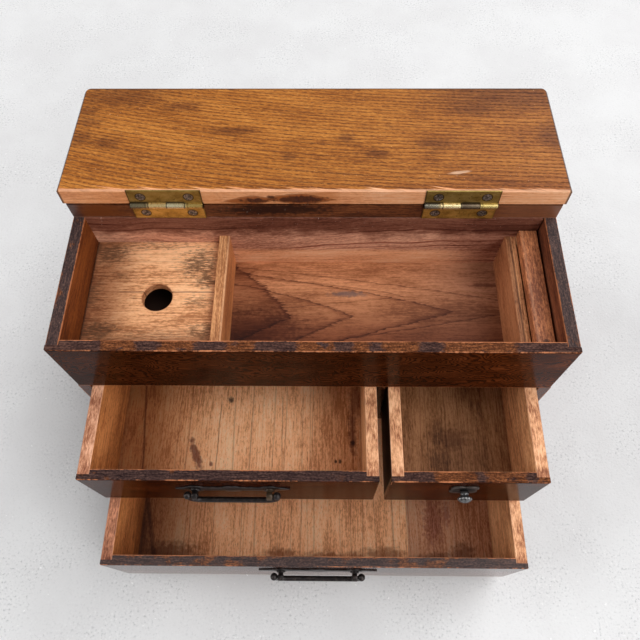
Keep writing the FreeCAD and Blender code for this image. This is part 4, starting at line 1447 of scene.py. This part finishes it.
plum = plum.greater(left_floor.spot(x, y, (29, -85), (4, 12), 1.0, 0.6) * 0.6)
left_floor.stain(plum * 0.85, (0.20, 0.105, 0.125))
knots = left_floor.spot(x, y, (-60.0, -84), (1.8, 2.0), 1.2, 0.5)
SMALL_KNOTS = (((17.7, -127.5), (0.9, 1.4)), ((14.8, -127.8), (0.9, 0.9)), ((26.3, -114.5), (1.5, 1.6)))
for centre, reach in SMALL_KNOTS:
    knots = knots.greater(left_floor.spot(x, y, centre, reach, 0.9, 0.5))
left_floor.lay(knots * 0.88, (0.030, 0.014, 0.011))
# Painted light: the middle band of the floor stays light, and painted shade darkens the rest.
sunny = x.band(-84, 4, 22.0)
left_floor.stain((1 - sunny) * 0.75, (0.62, 0.50, 0.38))
# The left part is darker: a darker plank with painted shade over it.
darker_plank_and_shade = x.falling(-122, -88)
left_floor.stain(darker_plank_and_shade * 0.9, (0.38, 0.27, 0.17))
give(left_floor.show(0.6, level - 0.5 - lines * 0.5, 0.1), "left_drawer_bottom")
print("left drawer's floor finished")

# %% Finish the right drawer's floor
BROWN_TAN = ((0.48, 0.240, 0.110), (0.32, 0.146, 0.060), (0.15, 0.062, 0.025))
right_floor, level = floor_board("right_floor_wood", "right_drawer_bottom", BROWN_TAN, 5.0, 8.0)
x, y = right_floor.x, right_floor.y
smudge = right_floor.spot(x, y, (96, -112), (12, 8), 1.0, 0.6).greater(
    right_floor.spot(x, y, (104, -124), (20, 9), 0.8, 0.7) * 0.5
)
right_floor.stain(smudge * 0.75, (0.34, 0.26, 0.22))
lines = thin_line(right_floor, 91.5, 0.01, 0.5, -140, -75).greater(thin_line(right_floor, 78.0, 0.0, 0.3))
right_floor.stain(lines, (0.22, 0.14, 0.10))
give(right_floor.show(0.6, level - 0.5, 0.1), "right_drawer_bottom")
print("right drawer's floor finished")

# %% Finish the bottom drawer's floor
wide_floor, level = floor_board("bottom_floor_wood", "bottom_drawer_bottom", TAN, 9.0, 10.0)
x, y = wide_floor.x, wide_floor.y
BROWN_FROM = 70.3
browner = (x - BROWN_FROM).rising(-0.4, 0.4)
wide_floor.stain(browner * 0.8, (0.52, 0.46, 0.50))
# Painted shade over the left part of the floor.
left_shade = x.falling(-128, -70)
wide_floor.stain(left_shade * 0.95, (0.25, 0.18, 0.13))
plum = wide_floor.spot(x, y, (91, -154), (7, 18), 1.2, 0.5)
plum = plum.greater(wide_floor.spot(x, y, (101, -150), (3, 8), 1.2, 0.5))
wide_floor.stain(plum * 0.7, (0.46, 0.28, 0.34))
SMUDGES = (
    ((-26, -180), (11, 4)), ((8, -182), (16, 4)), ((-42, -184), (7, 3)), ((30, -182), (7, 4)),
    ((52, -180), (16, 5)), ((92, -182), (14, 4)), ((112, -178), (8, 7)), ((-112, -180), (24, 8)),
)
smudges = wide_floor.spot(x, y, (-132, -170), (5, 26), 0.8, 0.6)
for centre, reach in SMUDGES:
    smudges = smudges.greater(wide_floor.spot(x, y, centre, reach, 1.1, 0.6))
front_dirt = (y + wide_floor.shake(12, x / 12, y / 6, 4.0, 4, 0.6)).falling(-190, -180)
wide_floor.stain(smudges.greater(front_dirt * 0.7) * 0.75, (0.24, 0.15, 0.105))
stain_line = -126.2 + (y + 163) * -0.245
stain = (x - stain_line).size().falling(0.8, 2.6) * 0.9
lines = stain.greater(thin_line(wide_floor, -99.7, -0.05, 0.6, -200, -150))
WIDE_LINES = (
    (-80.5, -0.03, 0.4), (-57.0, -0.03, 0.3), (-31.0, -0.03, 0.35), (-8.0, -0.03, 0.3), (17.0, -0.03, 0.35),
    (44.0, -0.03, 0.4), (58.0, -0.03, 0.3), (71.5, 0.03, 0.5), (120.0, 0.03, 0.4),
)
for line in WIDE_LINES:
    lines = lines.greater(thin_line(wide_floor, *line))
wide_floor.stain(lines * 0.75, (0.22, 0.115, 0.080))
give(wide_floor.show(0.6, level - 0.5 - lines * 0.5, 0.1), "bottom_drawer_bottom")
print("bottom drawer's floor finished")

# %% [markdown]
# ## Drawer sides and backs
#
# A drawer side has a mottled pinkish top, because the end of each fibre took up dirt, an orange-brown inner
# face and a dark outer face. The front ends of the tops took some of the lacquer.

# %% Finish the drawer sides and backs
ORANGE_TAN = ((0.76, 0.310, 0.105), (0.55, 0.205, 0.062), (0.28, 0.090, 0.026))
LIGHT_TAN = ((0.92, 0.520, 0.260), (0.74, 0.350, 0.155), (0.40, 0.160, 0.064))
PINK_TOP = ((0.82, 0.440, 0.280), (0.56, 0.258, 0.142), (0.26, 0.085, 0.040))
DUSKY_TOP = ((0.64, 0.270, 0.150), (0.38, 0.150, 0.080), (0.16, 0.050, 0.026))
ORANGE_TOP = ((0.90, 0.500, 0.280), (0.66, 0.310, 0.152), (0.30, 0.105, 0.045))


def drawer_side_finish(name, node, inward, inside_tones, top_tones, seed):
    """Inward is 1 where the drawer lies on the right of the board, -1 where it lies on its left."""
    low, high = box_mm(node)
    finish = Finish(name, gloss=0.25)
    x, y, z = finish.xyz
    inside, level = soft_wood(finish, y, z, x, 7.0, inside_tones, seed, 8.0, 0.4)
    mottle = finish.noise(x / 1.0, y / 4.2, seed, 4, 0.65)
    cloud = finish.noise(x / 8, y / 14, seed, 2)
    top = finish.tones(0.5 + (mottle - 0.5) * 1.5 + (cloud - 0.5) * 0.9, *top_tones, low=0.25)
    front_end = (y - low.y + (mottle - 0.5) * 14).falling(0.0, 9.0)
    top = finish.multiply(front_end * 0.55, top, (0.42, 0.25, 0.20))
    arris = (x - low.x).lesser(high.x - x)
    top = finish.blend((arris + (mottle - 0.5) * 1.5).falling(0.1, 0.7) * 0.4, top, (0.88, 0.50, 0.32))
    finish.colour = finish.blend(finish.facing_z.rising(0.6, 0.8), inside, top)
    outer_mask = (finish.facing_x * inward).falling(-0.7, -0.5)
    outside = finish.ramp(level, [(0.3, (0.022, 0.007, 0.004)), (0.7, (0.060, 0.020, 0.009))])
    finish.lay(outer_mask * 0.95, outside)
    pricks = finish.noise(x / 0.9, y / 1.3, z / 1.3, 3, 0.65).rising(0.62, 0.72)
    finish.stain(pricks * 0.55, (0.34, 0.19, 0.13))
    patchy = finish.noise(y / 12, z / 9, seed, 3, 0.6).rising(0.55, 0.66) * (1 - finish.facing_z.size())
    finish.stain(patchy * 0.5, (0.52, 0.34, 0.24))
    foot = (z - low.z + finish.shake(12, y / 9, z / 9, 1.0, 3)).falling(0.0, 9.0)
    finish.stain(foot * 0.5, (0.46, 0.32, 0.24))
    return finish.show(0.55, level - 0.5 + (mottle - 0.5) * 0.6, 0.12)


LEFT_TOPS = {"left_drawer": PINK_TOP, "right_drawer": ORANGE_TOP, "bottom_drawer": DUSKY_TOP}
seed = 2.0
for drawer, left_top in LEFT_TOPS.items():
    for end, inward, inside_tones, top_tones in (
        ("_left_side", 1, ORANGE_TAN, left_top), ("_right_side", -1, LIGHT_TAN, ORANGE_TOP),
    ):
        node = drawer + end
        give(drawer_side_finish(node + "_wood", node, inward, inside_tones, top_tones, seed), node)
        seed += 1.0

back_wood = Finish("drawer_back_wood", gloss=0.25)
back_wood.colour, level = soft_wood(back_wood, back_wood.x, back_wood.z, back_wood.y, 6.0, ORANGE_TAN)
give(back_wood.show(0.6, level - 0.5, 0.1), "left_drawer_back", "right_drawer_back", "bottom_drawer_back")
print("drawer boards finished")

# %% [markdown]
# ## Brass
#
# The hinge leaves are brass gone olive and gold in clouds, with dirt round the screws and along the leaf
# edges, dark joints between the knuckles, and painted shadow in the notches above the knuckles that belong
# to the other leaf and below the rest. The knuckles were rubbed by use, each to another tone, so their tone
# is picked by how far along the hinge they are.

# %% Brass finish
brass = Finish("aged_brass", metallic=0.75)
x, y, z = brass.xyz
patina = brass.noise(x / 8, y / 5, z / 5, 4, 0.6)
fine = brass.noise(x / 1.3, y / 1.3, z / 1.3, 3, 0.6)
LEAF_TONES = ((0.76, 0.500, 0.135), (0.58, 0.370, 0.082), (0.34, 0.200, 0.038))
leaf_tone = brass.tones(patina + (fine - 0.5) * 0.25, *LEAF_TONES, 0.32, 0.68)
above_line = z - hinge_line.z
from_pin = ((y - hinge_line.y) ** 2 + above_line ** 2).root()
knuckle = from_pin.falling(2.1, 2.4)
LEAF_HALF = 22.0
left_place = (x + HINGE_X + LEAF_HALF) / (2 * LEAF_HALF)
right_place = (x - HINGE_X + LEAF_HALF) / (2 * LEAF_HALF)
LEFT_KNUCKLES = [
    (0.0, (0.22, 0.19, 0.12)), (0.22, (0.30, 0.24, 0.13)), (0.26, (0.85, 0.62, 0.28)),
    (0.48, (0.80, 0.60, 0.28)), (0.52, (0.82, 0.74, 0.48)), (0.74, (0.78, 0.66, 0.38)),
    (0.78, (0.62, 0.44, 0.14)), (1.0, (0.55, 0.36, 0.10)),
]
RIGHT_KNUCKLES = [
    (0.0, (0.20, 0.18, 0.14)), (0.18, (0.30, 0.27, 0.19)), (0.24, (0.90, 0.72, 0.38)),
    (0.48, (0.88, 0.72, 0.40)), (0.52, (0.12, 0.085, 0.055)), (0.74, (0.20, 0.150, 0.095)),
    (0.78, (0.60, 0.46, 0.16)), (1.0, (0.58, 0.44, 0.17)),
]
left_tone, right_tone = brass.ramp(left_place, LEFT_KNUCKLES), brass.ramp(right_place, RIGHT_KNUCKLES)
rubbed = brass.blend(x.rising(-1, 1), left_tone, right_tone)
rubbed = brass.multiply(fine.rising(0.52, 0.66) * 0.55, rubbed, (0.45, 0.33, 0.22))
duller = above_line.rising(1.5, 3.0)
leaf_tone = brass.multiply(duller, leaf_tone, (0.60, 0.66, 0.74))
brass.colour = brass.blend(knuckle, leaf_tone, rubbed)
spots = brass.noise(x / 1.5, y / 1.5, z / 1.5, 3).rising(0.63, 0.70)
brass.lay(spots * 0.6, (0.055, 0.035, 0.018))
print("brass toned")

# %% Dirt and painted shadow on the hinges
place = left_place * x.falling(-1, 1) + right_place * x.rising(-1, 1)
other_leaf = place.band(0.0, 0.25, 0.01).greater(place.band(0.5, 0.75, 0.01))
# Painted shadow in the notches round the other leaf's knuckles.
notch_shadow_above = above_line.band(2.2, 3.3, 0.25) * other_leaf
notch_shadow_below = (0 - above_line).band(2.2, 3.2, 0.25) * (1 - other_leaf)
joints_between = (place * 4 - 0.5).fraction().size()
between = (joints_between - 0.5).size().falling(0.015, 0.045) * knuckle
darkening = notch_shadow_above.greater(notch_shadow_below).greater(between)
leaf_edge = (0.5 - (place - 0.5).size()) * (2 * LEAF_HALF)
darkening = darkening.greater(leaf_edge.falling(0.2, 0.9) * (1 - knuckle) * 0.7)
for hole_x in hole_places:
    from_hole = ((x - hole_x) ** 2 + (above_line.size() - HOLE_ROW) ** 2).root()
    darkening = darkening.greater(from_hole.falling(2.9, 3.6))
brass.lay(darkening * 0.88, (0.020, 0.012, 0.007))
leaf_rough = 0.40 - knuckle * 0.14 + spots * 0.2
brass_material = brass.show(leaf_rough, patina - darkening, 0.05)
for side in ("left", "right"):
    give(brass_material, side + "_hinge_rail_leaf", side + "_hinge_lid_leaf", side + "_hinge_pin")
print("brass finished")

# %% [markdown]
# ## Steel, iron and the knob's grey metal
#
# The screws are steel, bright on the rims of their heads. The pulls are blackened iron: nearly black, with
# small sharp lights and a few worn places. The knob is a grey metal with a painted highlight on the ends of
# its petals, which are the parts farthest from its axis, and a painted highlight on the rim of its rose.

# %% Steel and iron finishes
steel = Finish("screw_steel", metallic=0.7)
x, y, z = steel.xyz
tarnish = steel.noise(x / 1.0, y / 1.0, z / 1.0, 3, 0.6)
STEEL_STOPS = [(0.34, (0.045, 0.036, 0.030)), (0.52, (0.21, 0.18, 0.15)), (0.68, (0.52, 0.48, 0.43))]
steel.colour = steel.ramp(tarnish, STEEL_STOPS)
give(steel.show(0.36, tarnish, 0.05), screws["rail"], screws["lid"])

iron = Finish("black_iron", metallic=0.55)
x, y, z = iron.xyz
scale = iron.noise(x / 2.0, y / 2.0, z / 2.0, 4, 0.6)
IRON_STOPS = [(0.35, (0.008, 0.006, 0.006)), (0.55, (0.024, 0.018, 0.017)), (0.72, (0.075, 0.055, 0.048))]
iron.colour = iron.ramp(scale, IRON_STOPS)
RIGHT_EYE_X, EYE_Z = -26.7, 119.6
worn_eye = iron.spot(x, z, (RIGHT_EYE_X, EYE_Z), (2.6, 3.0), 0.5, 0.4) * y.rising(-165, -160)
iron.lay(worn_eye * 0.35, (0.20, 0.120, 0.055))
rust = iron.noise(x / 1.4, y / 1.4, z / 1.4, 3).rising(0.64, 0.70) * x.rising(18, 26)
iron.lay(rust * 0.5, (0.12, 0.045, 0.028))
iron_material = iron.show(0.24 + scale * 0.22, scale, 0.06)
give(iron_material, left_plate, bottom_plate, left_posts, bottom_posts, left_bail, bottom_bail)

grey_metal = Finish("knob_metal", metallic=0.7)
x, y, z = grey_metal.xyz
rubbing = grey_metal.noise(x / 1.1, y / 1.1, z / 1.1, 3)
from_axis = ((x - knob_axis.x) ** 2 + (z - knob_axis.z) ** 2).root()
is_head = (y - knob_axis.y).falling(-3.4, -3.0)
petal_end = from_axis.rising(3.9, 4.7) * is_head
black_tone = grey_metal.ramp(rubbing, [(0.35, (0.008, 0.007, 0.007)), (0.65, (0.032, 0.028, 0.027))])
grey_tone = grey_metal.ramp(rubbing, [(0.35, (0.045, 0.045, 0.048)), (0.65, (0.19, 0.19, 0.19))])
grey_metal.colour = grey_metal.blend(is_head, black_tone, grey_tone)
# Painted highlight on the ends of the petals.
grey_metal.lay(petal_end * 0.8, (0.55, 0.54, 0.53))
# Painted highlight on the rim of the rose.
rose_rim = from_axis.rising(6.6, 7.4) * (1 - is_head)
grey_metal.lay(rose_rim * 0.35, (0.16, 0.12, 0.10))
give(grey_metal.show(0.50 - is_head * 0.2, rubbing, 0.05), knob, rose)
print("metals finished")

# %% [markdown]
# ## Last update
#
# The view layer is brought up to date.

# %% Finish
bpy.context.view_layer.update()
